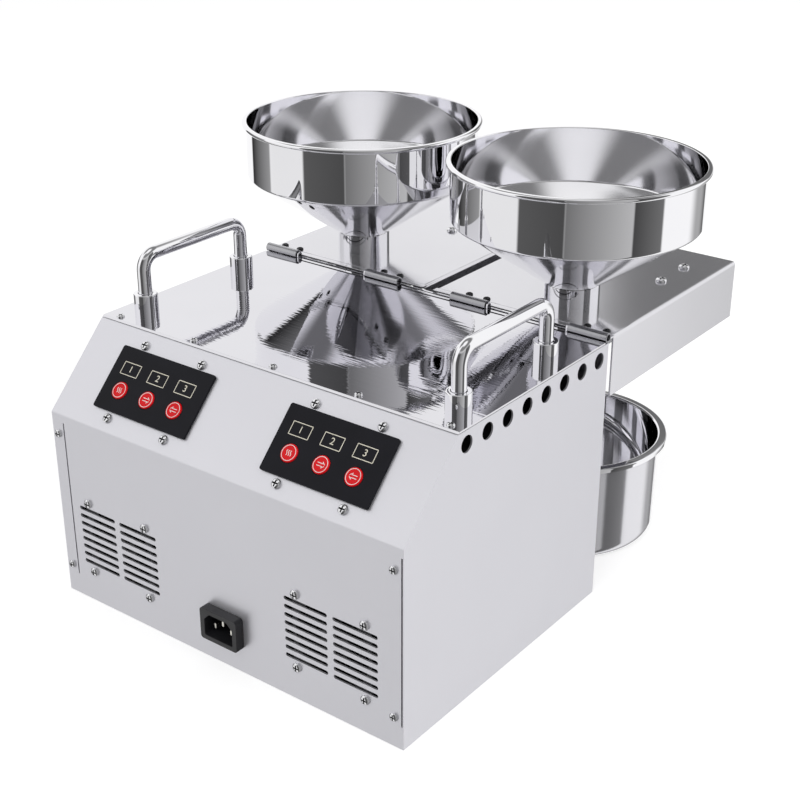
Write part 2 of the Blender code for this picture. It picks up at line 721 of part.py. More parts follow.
def make_hopper(side, sign, chrome):
    """A cone with its spout, and the band with its rolled rim on top. Heights are above the cover."""
    wall = HOPPER_WALL
    band_foot = SLEEVE_HEIGHT + CONE_HEIGHT
    seam = band_foot + BAND_SEAM
    rim = band_foot + BAND_HEIGHT
    foot = -SHEET - SPOUT_BELOW_COVER
    slope = math.tan(CONE_ANGLE)
    spout_top = SLEEVE_HEIGHT - (SLEEVE_RADIUS - SPOUT_RADIUS) * slope
    bend = [(SPOUT_RADIUS, spout_top), (BAND_RADIUS, band_foot), (BAND_RADIUS, seam)]
    inner_radius = SPOUT_RADIUS - wall
    drop = wall / math.cos(CONE_ANGLE) - wall * slope
    cone = [
        (SPOUT_RADIUS, foot),
        *bend_corners(bend, BAND_BEND, 1),
        (BAND_RADIUS - wall, seam),
        (BAND_RADIUS - wall, band_foot + drop),
        (inner_radius, spout_top + drop),
        (inner_radius, foot),
    ]
    bead = (BAND_RADIUS + BEAD_RADIUS - FIT, rim)
    bead_join = math.degrees(math.asin((bead[0] - BAND_RADIUS) / BEAD_RADIUS))
    band = [
        (BAND_RADIUS, seam + FIT),
        *arc(bead, BEAD_RADIUS, -90 - bead_join, 90, 3),
        (BAND_RADIUS - wall, rim + BEAD_RADIUS),
        (BAND_RADIUS - wall, seam + FIT),
    ]
    centre = (sign * HEAD_X, HOPPER_Y, COVER_TOP)
    lathe(f"hopper_{side}", cone, FINE_COUNT, chrome, centre)
    lathe(f"hopper_band_{side}", band, FINE_COUNT, chrome, centre)


# Pots: straight-sided cups with a flanged rim

POT_WALL = 1 * MM
POT_TAPER = 0.6 * MM
POT_CORNER = 9 * MM
POT_LIP = 3.4 * MM
POT_EDGE = 1.5 * MM


def make_pot(side, sign, chrome):
    """A cup that stands under a head, with a flat flange turned down at its edge."""
    foot, top, wall = POT_RADIUS - POT_TAPER, POT_HEIGHT, POT_WALL
    flange = POT_RADIUS + POT_FLANGE
    outside = [(0, 0), (foot, 0), (POT_RADIUS, top - wall)]
    flange_under = [(flange - wall, top - wall), (flange - wall, top - POT_LIP)]
    flange_over = [(flange, top - POT_LIP), (flange, top), (POT_RADIUS - wall, top)]
    inside = [(POT_RADIUS - wall, top), (foot - wall, wall), (0, wall)]
    profile = bend_corners(outside, POT_CORNER, 2) + flange_under
    profile += bend_corners(flange_over, POT_EDGE, 1)[:-1]
    profile += bend_corners(inside, POT_CORNER - wall, 2)
    pot = lathe(f"oil_pot_{side}", profile, FINE_COUNT, chrome)
    pot.location = (sign * POT_X, BACK_Y + POT_SETBACK + flange, 0)


# Barrel, its heater and its choke nut, on the head's axis

FLANGE_RADIUS = 25 * MM
FLANGE_THICKNESS = 5 * MM
FEED_BOSS_RADIUS = 18.5 * MM
FEED_RADIUS = 13 * MM
BOSS_GAP = 0.5 * MM
OIL_SLOT_COUNT = 5
OIL_SLOT_WIDTH = 1.6 * MM
OIL_SLOT_MARGIN = 0.8 * MM
OIL_SLOT_END = 9 * MM
OIL_SLOT_SPREAD = math.radians(22)
HEATER_RADIUS = 22 * MM
HEATER_LENGTH = 30 * MM
HEATER_INSET = 16.7 * MM
HEATER_EAR = 6 * MM
HEATER_EAR_WIDTH = 8 * MM
NUT_LENGTH = 21 * MM
NUT_RADIUS = 23 * MM
NUT_CHAMFER = 2 * MM
BARREL_Y = BACK_Y + FIT
BARREL_END = BARREL_Y + BARREL_LENGTH
HEATER_START = BARREL_LENGTH - HEATER_INSET - HEATER_LENGTH
OIL_SLOT_START = HOPPER_Y + FEED_BOSS_RADIUS + OIL_SLOT_MARGIN - BARREL_Y
OIL_SLOT_LENGTH = HEATER_START - OIL_SLOT_START - OIL_SLOT_END


def make_barrel(side, sign, steel, dark):
    """The pressing barrel with its feed boss and oil slots, its band heater and its choke nut."""
    x = sign * HEAD_X
    axis_point = (x, BARREL_Y, AXIS_Z)
    profile = [
        (BORE_RADIUS, 0),
        (FLANGE_RADIUS, 0),
        (FLANGE_RADIUS, FLANGE_THICKNESS),
        (BARREL_RADIUS, FLANGE_THICKNESS),
        (BARREL_RADIUS, BARREL_LENGTH),
        (BORE_RADIUS, BARREL_LENGTH),
    ]
    barrel = lathe(f"press_barrel_{side}", profile, ROUND_COUNT, steel, axis_point, "Y")
    boss_top = COVER_TOP - SHEET - SPOUT_BELOW_COVER - BOSS_GAP
    boss_end = circle((x, HOPPER_Y), FEED_BOSS_RADIUS, ROUND_COUNT)
    boss = prism(f"feed_boss_{side}", boss_end, AXIS_Z, boss_top, "Z")
    bore_end = circle((x, AXIS_Z), BORE_RADIUS, ROUND_COUNT)
    bore = prism(f"barrel_bore_{side}", bore_end, BARREL_Y - OVERRUN, BARREL_END + OVERRUN, "Y")
    feed_end = circle((x, HOPPER_Y), FEED_RADIUS, ROUND_COUNT)
    feed = prism(f"feed_hole_{side}", feed_end, AXIS_Z, boss_top + OVERRUN, "Z")
    fuse(barrel, boss)
    cut(barrel, bore, feed)
    slots = bmesh.new()
    slot_low, slot_high = -BARREL_RADIUS - OVERRUN, -BORE_RADIUS / 2
    slot = rectangle((0, (slot_low + slot_high) / 2), OIL_SLOT_WIDTH, slot_high - slot_low)
    slot_start = BARREL_Y + OIL_SLOT_START
    for i in range(OIL_SLOT_COUNT):
        turn = Matrix.Rotation((i - (OIL_SLOT_COUNT - 1) / 2) * OIL_SLOT_SPREAD, 2)
        turned = [tuple(Vector((x, AXIS_Z)) + turn @ Vector(point)) for point in slot]
        add_prism(slots, turned, slot_start, slot_start + OIL_SLOT_LENGTH, "Y")
    cut(barrel, mesh_object(f"oil_slots_{side}", slots, None))

    start = BARREL_Y + HEATER_START
    ring = [
        (BARREL_RADIUS + FIT, 0),
        (HEATER_RADIUS, 0),
        (HEATER_RADIUS, HEATER_LENGTH),
        (BARREL_RADIUS + FIT, HEATER_LENGTH),
    ]
    heater = lathe(f"heater_band_{side}", ring, ROUND_COUNT, dark, (x, start, AXIS_Z), "Y")
    ear_low = AXIS_Z - HEATER_RADIUS - HEATER_EAR
    ear_high = AXIS_Z - (BARREL_RADIUS + HEATER_RADIUS) / 2
    ear = block(
        f"heater_ear_{side}",
        (x - HEATER_EAR_WIDTH / 2, start + HEATER_LENGTH / 4, ear_low),
        (x + HEATER_EAR_WIDTH / 2, start + HEATER_LENGTH * 3 / 4, ear_high),
    )
    fuse(heater, ear)

    nut_start = BARREL_END + FIT
    hexagon = circle((x, AXIS_Z), NUT_RADIUS, 6)
    nut = prism(f"choke_nut_{side}", hexagon, nut_start, nut_start + NUT_LENGTH, "Y", dark)
    hollow = [
        (0, -OVERRUN),
        (NUT_BORE_WIDE, -OVERRUN),
        (NUT_BORE_WIDE, 0),
        (NUT_BORE_NARROW, NUT_LENGTH),
        (NUT_BORE_NARROW, NUT_LENGTH + OVERRUN),
        (0, NUT_LENGTH + OVERRUN),
    ]
    cut(nut, lathe(f"choke_bore_{side}", hollow, ROUND_COUNT, None, (x, nut_start, AXIS_Z), "Y"))
    bevel = nut.modifiers.new("edges", "BEVEL")
    bevel.width = NUT_CHAMFER / 2
    bevel.segments = 1
    bevel.limit_method = "ANGLE"
    bevel.angle_limit = math.radians(50)


# Press screw: a shank, a root that grows towards the outlet, one flight and a nose

SHANK_RADIUS = 6.5 * MM
SHANK_LENGTH = 33 * MM
THRUST_RADIUS = 12.4 * MM
THRUST_START = 2 * MM
THRUST_LENGTH = 6 * MM
FLIGHT_FOOT = 5 * MM
FLIGHT_CREST = 2.6 * MM
FLIGHT_START = 14 * MM
FLIGHT_END = 11.7 * MM
FLIGHT_TURNS = 6
FLIGHT_PITCH = (BARREL_LENGTH - FLIGHT_START - FLIGHT_END) / FLIGHT_TURNS
FLIGHT_RADIUS = BORE_RADIUS - RUNNING_GAP
ROOT_THIN = 7 * MM
ROOT_THICK = 11 * MM
NOSE_RADIUS = 6.8 * MM
NOSE_BEYOND_NUT = 3 * MM
CAKE_GAP = 1.4 * MM
NUT_BORE_WIDE = ROOT_THICK + CAKE_GAP
NUT_BORE_NARROW = NOSE_RADIUS + CAKE_GAP
STEPS_A_TURN = 14


def make_screw(side, sign, steel):
    """The screw as one skin: four helical strips for the flight and root, closed by turned ends.

    Local Z is the axis. The strips run between four helices: the flight's near foot, near crest,
    far crest and far foot. The root strip joins each far foot to the next turn's near foot.
    """
    bm = bmesh.new()
    steps = STEPS_A_TURN
    total = steps * FLIGHT_TURNS
    length = FLIGHT_PITCH * FLIGHT_TURNS

    def ring(radius, height):
        made = []
        for i in range(steps):
            angle = 2 * math.pi * i / steps
            made.append(bm.verts.new((radius * math.cos(angle), radius * math.sin(angle), height)))
        return made

    def root_radius(height):
        share = min(max((height - FLIGHT_START) / length, 0), 1)
        return ROOT_THIN + (ROOT_THICK - ROOT_THIN) * share

    def helix(offset, crest):
        made = []
        for i in range(total + 1):
            angle = 2 * math.pi * i / steps
            height = FLIGHT_START + FLIGHT_PITCH * i / steps + offset
            radius = FLIGHT_RADIUS if crest else root_radius(height)
            made.append(bm.verts.new((radius * math.cos(angle), radius * math.sin(angle), height)))
        return made

    near_foot = helix(-FLIGHT_FOOT / 2, False)
    near_crest = helix(-FLIGHT_CREST / 2, True)
    far_crest = helix(FLIGHT_CREST / 2, True)
    far_foot = helix(FLIGHT_FOOT / 2, False)
    for first, second in ((near_foot, near_crest), (near_crest, far_crest), (far_crest, far_foot)):
        for i in range(total):
            bm.faces.new((first[i], first[i + 1], second[i + 1], second[i]))
    for i in range(total - steps):
        bm.faces.new((far_foot[i], far_foot[i + 1], near_foot[i + 1 + steps], near_foot[i + steps]))
    for i in (0, total):
        bm.faces.new((near_foot[i], near_crest[i], far_crest[i], far_foot[i]))

    shank_end = -SHANK_LENGTH
    start_rings = [
        ring(SHANK_RADIUS, shank_end),
        ring(SHANK_RADIUS, THRUST_START),
        ring(THRUST_RADIUS, THRUST_START),
        ring(THRUST_RADIUS, THRUST_START + THRUST_LENGTH),
        ring(ROOT_THIN, THRUST_START + THRUST_LENGTH),
    ]
    nose_end = BARREL_LENGTH + FIT + NUT_LENGTH + NOSE_BEYOND_NUT
    last_height = FLIGHT_START + length + FLIGHT_FOOT
    end_rings = [
        ring(ROOT_THICK, max(last_height, BARREL_LENGTH)),
        ring(NOSE_RADIUS, nose_end - NOSE_BEYOND_NUT),
        ring(NOSE_RADIUS, nose_end),
    ]
    for rings in (start_rings, end_rings):
        for lower, upper in zip(rings, rings[1:]):
            for i in range(steps):
                j = (i + 1) % steps
                bm.faces.new((lower[i], lower[j], upper[j], upper[i]))
    bm.faces.new(start_rings[0])
    bm.faces.new(end_rings[-1])
    before, after = start_rings[-1], end_rings[0]
    for i in range(steps - 1):
        bm.faces.new((before[i], before[i + 1], near_foot[i + 1], near_foot[i]))
        k = total - steps + i
        bm.faces.new((far_foot[k], far_foot[k + 1], after[i + 1], after[i]))
    bm.faces.new((before[-1], before[0], near_foot[0], far_foot[0], near_foot[steps], near_foot[steps - 1]))
    seam = total - steps
    bm.faces.new((far_foot[total - 1], far_foot[total], after[0], after[-1]))
    bm.faces.new((far_foot[seam], near_foot[total], far_foot[total], after[0]))
    screw = mesh_object(f"press_screw_{side}", bm, steel)
    screw.data.transform(Matrix.Rotation(-math.pi / 2, 4, "X"))
    screw.location = (sign * HEAD_X, BARREL_Y, AXIS_Z)


# Drive and cooling inside the case

GEARBOX_HALF_WIDTH = 30 * MM
GEARBOX_ABOVE = 22 * MM
GEARBOX_BELOW = 74 * MM
GEARBOX_DEPTH = 38 * MM
GEARBOX_EDGE = 4 * MM
MOTOR_DROP = 43 * MM
MOTOR_RADIUS = 29 * MM
MOTOR_LENGTH = 86 * MM
MOTOR_CAP_RADIUS = 31 * MM
MOTOR_CAP_LENGTH = 10 * MM
FAN_SIZE = 62 * MM
FAN_DEPTH = 20 * MM
FAN_CORNER = 4 * MM
FAN_BORE = 28.5 * MM
FAN_HUB = 12 * MM
FAN_SPIDER = 3 * MM
FAN_STRUT = 3.5 * MM
BLADE_COUNT = 7
BLADE_REACH = 27 * MM
BLADE_THICKNESS = 1.2 * MM
BLADE_DEPTH = 11 * MM
BLADE_TURN = math.radians(38)
ROTOR_PIN = 3 * MM
BOARD_WIDTH = 110 * MM
BOARD_DEPTH = 80 * MM
BOARD_THICKNESS = 1.6 * MM
BOARD_LIFT = 8 * MM
BOARD_POST = 3 * MM
BOARD_INSET = 6 * MM
TRANSFORMER_SIZE = 32 * MM
RELAY_SIZE = 18 * MM


def make_drive(side, sign, cast, dark):
    """The gearbox on the inside of the back, and the motor on the gearbox."""
    x = sign * HEAD_X
    back = BACK_Y - SHEET - FIT
    near = back - GEARBOX_DEPTH
    low, high = AXIS_Z - GEARBOX_BELOW, AXIS_Z + GEARBOX_ABOVE
    centre = (x, (low + high) / 2)
    outline = rounded_rectangle(centre, 2 * GEARBOX_HALF_WIDTH, high - low, GEARBOX_EDGE, 2)
    gearbox = prism(f"gearbox_{side}", outline, near, back, "Y", cast)
    bore = circle((x, AXIS_Z), SHANK_RADIUS + RUNNING_GAP, COARSE_COUNT)
    cut(gearbox, prism(f"gearbox_bore_{side}", bore, near - OVERRUN, back + OVERRUN, "Y"))
    motor_start = near - FIT - MOTOR_LENGTH
    profile = [
        (0, 0),
        (MOTOR_CAP_RADIUS, 0),
        (MOTOR_CAP_RADIUS, MOTOR_CAP_LENGTH),
        (MOTOR_RADIUS, MOTOR_CAP_LENGTH),
        (MOTOR_RADIUS, MOTOR_LENGTH - MOTOR_CAP_LENGTH),
        (MOTOR_CAP_RADIUS, MOTOR_LENGTH - MOTOR_CAP_LENGTH),
        (MOTOR_CAP_RADIUS, MOTOR_LENGTH),
        (0, MOTOR_LENGTH),
    ]
    lathe(f"motor_{side}", profile, ROUND_COUNT, dark, (x, motor_start, AXIS_Z - MOTOR_DROP), "Y")


def make_fan(side, sign, black):
    """A square fan frame with a spider behind its bore, and a bladed rotor on the spider's hub."""
    x, z = sign * FAN_X, FAN_HEIGHT
    front = FRONT_Y + SHEET + FIT
    back = front + FAN_DEPTH
    outline = rounded_rectangle((x, z), FAN_SIZE, FAN_SIZE, FAN_CORNER, 2)
    frame = prism(f"fan_frame_{side}", outline, front, back, "Y", black)
    bore = circle((x, z), FAN_BORE, ROUND_COUNT)
    cut(frame, prism(f"fan_bore_{side}", bore, front - OVERRUN, back - FAN_SPIDER, "Y"))
    windows = bmesh.new()
    inner, outer, half = FAN_HUB, FAN_BORE, FAN_STRUT / 2
    for quarter in range(4):
        turn = Matrix.Rotation(math.radians(45 + 90 * quarter), 2)
        edge = math.degrees(math.asin(half / outer))
        foot = math.degrees(math.asin(half / inner))
        window = arc((0, 0), outer, -45 + edge, 45 - edge, 3) + arc((0, 0), inner, 45 - foot, -45 + foot, 1)
        window = [tuple(Vector((x, z)) + turn @ Vector(point)) for point in window]
        add_prism(windows, window, back - FAN_SPIDER - OVERRUN, back + OVERRUN, "Y")
    cut(frame, mesh_object(f"fan_windows_{side}", windows, None))
    pin_hole = circle((x, z), ROTOR_PIN + RUNNING_GAP, COARSE_COUNT)
    cut(frame, prism(f"fan_pin_hole_{side}", pin_hole, back - FAN_SPIDER - OVERRUN, back + OVERRUN, "Y"))

    hub_back = FAN_DEPTH - FAN_SPIDER - RUNNING_GAP
    hub_front = hub_back - BLADE_DEPTH - 2 * BLADE_THICKNESS
    hub = [
        (0, hub_front),
        (FAN_HUB, hub_front),
        (FAN_HUB, hub_back),
        (ROTOR_PIN, hub_back),
        (ROTOR_PIN, FAN_DEPTH),
        (0, FAN_DEPTH),
    ]
    rotor = lathe(f"fan_rotor_{side}", hub, COARSE_COUNT, black, (x, front, z), "Y")
    blades = bmesh.new()
    blade_near = hub_front + BLADE_THICKNESS
    for i in range(BLADE_COUNT):
        angle = 2 * math.pi * i / BLADE_COUNT
        corners = []
        for radius in (FAN_HUB - BLADE_THICKNESS, BLADE_REACH):
            for height, turn in ((blade_near, 0), (blade_near + BLADE_DEPTH, BLADE_TURN)):
                for shift in (-BLADE_THICKNESS, BLADE_THICKNESS):
                    at = angle + turn * FAN_HUB / radius + shift / 2 / radius
                    corners.append(blades.verts.new((radius * math.cos(at), radius * math.sin(at), height)))
        for face in ((0, 1, 3, 2), (4, 5, 7, 6), (0, 1, 5, 4), (2, 3, 7, 6), (0, 2, 6, 4), (1, 3, 7, 5)):
            blades.faces.new([corners[k] for k in face])
    blade = mesh_object(f"fan_blades_{side}", blades, None)
    blade.data.transform(Matrix.Rotation(-math.pi / 2, 4, "X"))
    blade.location = (x, front, z)
    fuse(rotor, blade)


def make_control_board(green):
    """The power board on its posts on the base, with a transformer and two relays."""
    bottom = SHEET + FIT
    low = bottom + BOARD_LIFT
    high = low + BOARD_THICKNESS
    w, d = BOARD_WIDTH / 2, BOARD_DEPTH / 2
    board = block("control_board", (-w, -d, low), (w, d, high), green)
    posts = []
    for sx in (-1, 1):
        for sy in (-1, 1):
            place = (sx * (w - BOARD_INSET), sy * (d - BOARD_INSET))
            posts.append(circle(place, BOARD_POST, SMALL_COUNT))
    fuse(board, prisms("board_posts", posts, bottom, (low + high) / 2, "Z"))
    half = TRANSFORMER_SIZE / 2
    centre_x = -w / 2
    middle = (low + high) / 2
    transformer = block(
        "transformer",
        (centre_x - half, -half, middle),
        (centre_x + half, half, high + TRANSFORMER_SIZE),
    )
    relays = bmesh.new()
    for row in (-1, 1):
        centre = (w / 2, row * RELAY_SIZE)
        outline = rounded_rectangle(centre, RELAY_SIZE, RELAY_SIZE, BOARD_THICKNESS, 1)
        add_prism(relays, outline, middle, high + RELAY_SIZE, "Z")
    fuse(board, transformer, mesh_object("relays", relays, None))


def main():
    clear_scene()
    satin = make_material("satin_steel", (0.62, 0.62, 0.64), 1.0, 0.34)
    polished = make_material("polished_steel", (0.72, 0.72, 0.74), 1.0, 0.12)
    chrome = make_material("chrome", (0.8, 0.8, 0.82), 1.0, 0.06)
    cast = make_material("cast_metal", (0.35, 0.35, 0.37), 0.9, 0.5)
    dark = make_material("dark_steel", (0.12, 0.12, 0.13), 0.8, 0.45)
    black = make_material("black_plastic", (0.02, 0.02, 0.024), 0.0, 0.4)
    red = make_material("red_plastic", (0.72, 0.02, 0.03), 0.0, 0.35)
    green = make_material("board_green", (0.03, 0.17, 0.07), 0.0, 0.5)
    brass = make_material("pin_metal", (0.78, 0.74, 0.62), 1.0, 0.25)

    slope = empty("slope_frame", (0, FRONT_Y, FRONT_HEIGHT), (SLOPE_ANGLE, 0, 0))
    make_base(satin)
    make_back(satin)
    front_panel = make_front(satin)
    make_top(polished)
    make_inlet(black, brass)
    make_hinge_rod(chrome)
    make_control_board(green)
    for side, sign in SIDES:
        make_side(side, sign, satin)
        make_handle(side, sign, chrome)
        make_controls(side, sign, slope, front_panel, black, red, green)
        make_cover(side, sign, polished, chrome)
        make_hopper(side, sign, chrome)
        make_pot(side, sign, chrome)
        make_barrel(side, sign, cast, dark)
        make_screw(side, sign, cast)
        make_drive(side, sign, cast, dark)
        make_fan(side, sign, black)


main()
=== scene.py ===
"""Looks of the screw oil press: finishes, fine shapes, screws, push-button marks, light and camera.

Metres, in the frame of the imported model: the origin is the centre of the case's underside, -Y is
the front, +Y the pressing heads, +X to the right as seen from the front.
"""

from itertools import product
from math import asin, atan2, cos, degrees, pi, radians, sin, tan

import bmesh
import bpy
from mathutils import Matrix, Vector


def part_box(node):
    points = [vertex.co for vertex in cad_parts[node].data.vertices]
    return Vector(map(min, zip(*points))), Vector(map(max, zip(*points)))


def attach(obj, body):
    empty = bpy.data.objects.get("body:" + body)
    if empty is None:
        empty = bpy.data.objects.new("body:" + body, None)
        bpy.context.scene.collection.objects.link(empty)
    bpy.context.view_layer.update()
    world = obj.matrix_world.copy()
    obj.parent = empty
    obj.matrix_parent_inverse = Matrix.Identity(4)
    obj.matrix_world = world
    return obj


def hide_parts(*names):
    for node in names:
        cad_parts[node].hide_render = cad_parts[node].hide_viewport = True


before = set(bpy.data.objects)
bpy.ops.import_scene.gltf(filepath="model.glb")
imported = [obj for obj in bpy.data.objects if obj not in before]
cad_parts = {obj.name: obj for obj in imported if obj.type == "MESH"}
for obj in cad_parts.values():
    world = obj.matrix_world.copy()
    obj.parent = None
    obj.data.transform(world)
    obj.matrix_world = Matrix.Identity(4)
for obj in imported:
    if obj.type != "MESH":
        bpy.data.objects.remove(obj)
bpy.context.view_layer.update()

MM = 0.001
SIDES = (("left", -1), ("right", 1))
KEYS = (1, 2, 3)

# Clearance that touching pieces keep, a cutter's overrun, and how near points are when they are merged
SEAT = 0.3 * MM
OVERRUN = 2 * MM
WELD = 0.005 * MM

# Facets round a circle
SMALL_ROUND = 32
ROUND = 64
BORE_ROUND = 96
FINE = 144
BOWL_ROUND = 192


# Places read from the frame

def low(node):
    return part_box(node)[0]


def high(node):
    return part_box(node)[1]


def middle(node):
    return (low(node) + high(node)) / 2


def size(node):
    return high(node) - low(node)


def shift(x, y, z):
    return Matrix.Translation((x, y, z))


def turn(angle, axis):
    return Matrix.Rotation(angle, 4, axis)


HALF_WIDTH = high("top_plate").x
TOP_SHEET = 1.5 * MM
CASE_TOP = high("front_panel").z + TOP_SHEET
FRONT_Y = low("front_panel").y
BACK_Y = high("back_panel").y
SHEET = size("back_panel").y
COVER_TOP = high("cover_right").z
ROD_Y = middle("hinge_rod").y
ROD_Z = middle("hinge_rod").z
HEAD_X = middle("hopper_right").x
HOPPER_Y = middle("hopper_right").y
AXIS_Z = middle("press_screw_right").z

# The slope's corners, which the side panel also has
FRONT_HEIGHT = 139 * MM
SLOPE_RUN = 52.3 * MM
SLOPE_ANGLE = atan2(CASE_TOP - FRONT_HEIGHT, SLOPE_RUN)
ON_SLOPE = shift(0, FRONT_Y, FRONT_HEIGHT) @ turn(SLOPE_ANGLE, "X")
ON_FRONT = shift(0, FRONT_Y, 0) @ turn(pi / 2, "X")


# Node trees

def new_tree(name):
    """A material with an emptied tree."""
    material = bpy.data.materials.new(name)
    material.use_nodes = True
    material.node_tree.nodes.clear()
    return material


def add_node(tree, kind, inputs=None, **settings):
    """A node whose inputs each take a value, or another node's output."""
    node = tree.node_tree.nodes.new(kind)
    for key, value in settings.items():
        setattr(node, key, value)
    for key, value in (inputs or {}).items():
        if isinstance(value, bpy.types.NodeSocket):
            tree.node_tree.links.new(value, node.inputs[key])
        else:
            node.inputs[key].default_value = value
    return node


def add_shader(material, inputs):
    """Puts a Principled shader with these inputs on the material's output."""
    shader = add_node(material, "ShaderNodeBsdfPrincipled", inputs)
    add_node(material, "ShaderNodeOutputMaterial", {"Surface": shader.outputs["BSDF"]})
    return material


def noise(material, scale, detail=3, stretch=(1, 1, 1)):
    """Noise over the object's own coordinates; scale is features per metre, before stretch."""
    place = add_node(material, "ShaderNodeTexCoord").outputs["Object"]
    place = add_node(material, "ShaderNodeMapping", {"Vector": place, "Scale": stretch}).outputs["Vector"]
    inputs = {"Vector": place, "Scale": scale, "Detail": detail}
    return add_node(material, "ShaderNodeTexNoise", inputs).outputs["Fac"]


def spread(material, source, low_value, high_value):
    """The source's middle range brought to low_value to high_value."""
    return add_node(material, "ShaderNodeMapRange", {
        "Value": source, "From Min": 0.3, "From Max": 0.7, "To Min": low_value, "To Max": high_value,
    }).outputs["Result"]


def tint(material, scale, dark, light):
    """A colour that drifts slowly between two tones."""
    drift = spread(material, noise(material, scale, 2), 0, 1)
    inputs = {"Factor": drift, "A": (*dark, 1), "B": (*light, 1)}
    return add_node(material, "ShaderNodeMix", inputs, data_type="RGBA").outputs["Result"]


def bump(material, source, strength, distance):
    inputs = {"Height": source, "Strength": strength, "Distance": distance}
    return add_node(material, "ShaderNodeBump", inputs).outputs["Normal"]


# Materials; drift is in features per metre, and dent is how strongly the grain shows as relief

METAL_DRIFT = 14
METAL_DENT = 0.4
PLASTIC_DRIFT = 60
PLASTIC_DENT = 0.3
PLAIN = (1, 1, 1)


def make_metal(
    name, dark, light, smooth, rough, grain=PLAIN, grain_scale=900, depth=0.004 * MM, metallic=1, detail=4,
    spun=0
):
    """Metal whose colour drifts a little, with a grain along one axis, or round the upright one if spun."""
    material = new_tree(name)
    lines = noise(material, grain_scale, detail, grain)
    inputs = {
        "Metallic": metallic,
        "Base Color": tint(material, METAL_DRIFT, dark, light),
        "Roughness": spread(material, lines, smooth, rough),
        "Normal": bump(material, lines, METAL_DENT, depth),
    }
    if spun:
        tangent = add_node(material, "ShaderNodeTangent", direction_type="RADIAL", axis="Z")
        inputs |= {"Anisotropic": spun, "Anisotropic Rotation": 0.25, "Tangent": tangent.outputs["Tangent"]}
    return add_shader(material, inputs)


def make_plastic(name, dark, light, smooth, rough, grain_scale=2500, depth=0.01 * MM, coat=0, gloss=0.5):
    material = new_tree(name)
    grain = noise(material, grain_scale)
    return add_shader(material, {
        "Specular IOR Level": gloss,
        "Coat Weight": coat,
        "Base Color": tint(material, PLASTIC_DRIFT, dark, light),
        "Roughness": spread(material, grain, smooth, rough),
        "Normal": bump(material, grain, PLASTIC_DENT, depth),
    })


SATIN = make_metal(
    "satin_steel", (0.80, 0.795, 0.84), (0.812, 0.807, 0.852), 0.38, 0.42,
    (1, 1, 0.03), 2200, 0.002 * MM, 0.75
)
POLISHED = make_metal(
    "polished_steel", (0.75, 0.745, 0.78), (0.77, 0.765, 0.80), 0.02, 0.03,
    (0.05, 1, 1), 480, 0.075 * MM, 1, 1
)
COVER_STEEL = make_metal(
    "cover_steel", (0.76, 0.755, 0.79), (0.78, 0.775, 0.81), 0.11, 0.14,
    (1, 0.03, 0.03), 1200, 0.001 * MM, 0.88
)
CHROME = make_metal("chrome", (0.90, 0.897, 0.92), (0.93, 0.927, 0.95), 0.02, 0.03, PLAIN, 60, 0)
SPUN = make_metal(
    "spun_steel", (0.88, 0.877, 0.90), (0.92, 0.917, 0.94), 0.15, 0.18,
    (1, 1, 12), 260, 0.001 * MM, spun=0.85
)
CAST = make_metal("cast_metal", (0.30, 0.30, 0.32), (0.42, 0.42, 0.44), 0.30, 0.50, PLAIN, 600, 0.02 * MM)
DARK = make_metal("dark_steel", (0.05, 0.05, 0.055), (0.09, 0.09, 0.095), 0.35, 0.50, PLAIN, 900, 0.01 * MM)
SCREW = make_metal("screw_steel", (0.8, 0.8, 0.82), (0.86, 0.86, 0.88), 0.04, 0.07, PLAIN, 1200, 0.001 * MM)
PIN = make_metal("pin_metal", (0.72, 0.70, 0.64), (0.82, 0.80, 0.74), 0.15, 0.28)
KNUCKLE = make_metal("knuckle_steel", (0.36, 0.36, 0.38), (0.44, 0.44, 0.46), 0.16, 0.26)
BLACK = make_plastic("black_plastic", (0.010, 0.010, 0.012), (0.020, 0.020, 0.023), 0.28, 0.42)
PANEL_BLACK = make_plastic(
    "panel_black", (0.009, 0.009, 0.012), (0.011, 0.011, 0.015), 0.34, 0.40, 900, 0, 0, 0.12
)
RED = make_plastic(
    "red_plastic", (0.66, 0.005, 0.009), (0.72, 0.008, 0.013), 0.30, 0.38, 1500, 0.004 * MM, 0.05, 0.2
)
WHITE_INK = make_plastic("white_ink", (0.80, 0.80, 0.78), (0.88, 0.88, 0.86), 0.40, 0.50)
CREAM_INK = make_plastic("cream_ink", (0.72, 0.68, 0.56), (0.80, 0.76, 0.64), 0.40, 0.50)
BOARD = make_plastic("board_green", (0.015, 0.12, 0.05), (0.03, 0.18, 0.08), 0.30, 0.45)


# Mesh helpers

def place_object(name, data):
    obj = bpy.data.objects.new(name, data)
    bpy.context.scene.collection.objects.link(obj)
    return obj


def add_object(name, bm, material, angle=35):
    """The bmesh as an object, smooth but for edges sharper than the angle."""
    bmesh.ops.recalc_face_normals(bm, faces=bm.faces)
    mesh = bpy.data.meshes.new(name)
    bm.to_mesh(mesh)
    bm.free()
    if material:
        mesh.materials.append(material)
    return shade(place_object(name, mesh), angle)


def shade(obj, angle):
    obj.data.shade_smooth()
    obj.data.set_sharp_from_angle(angle=radians(angle))
    return obj


def filled(add, *sizes):
    """A new bmesh with the solid that the function adds."""
    bm = bmesh.new()
    add(bm, *sizes)
    return bm


def add_solid(name, material, add, *sizes):
    return add_object(name, filled(add, *sizes), material)


def finish_piece(obj, body, *replaced):
    """Gives a finished piece its body, and hides the nodes that it stands for."""
    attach(obj, body)
    if replaced:
        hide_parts(*replaced)
    return obj


def arc(centre, radius, start, end, steps):
    """Points on an arc, angles in degrees."""
    points = []
    for step in range(steps + 1):
        angle = radians(start + (end - start) * step / steps)
        points.append((centre[0] + radius * cos(angle), centre[1] + radius * sin(angle)))
    return points


def circle(centre, radius, segments=ROUND):
    return arc(centre, radius, 0, 360, segments)[:-1]


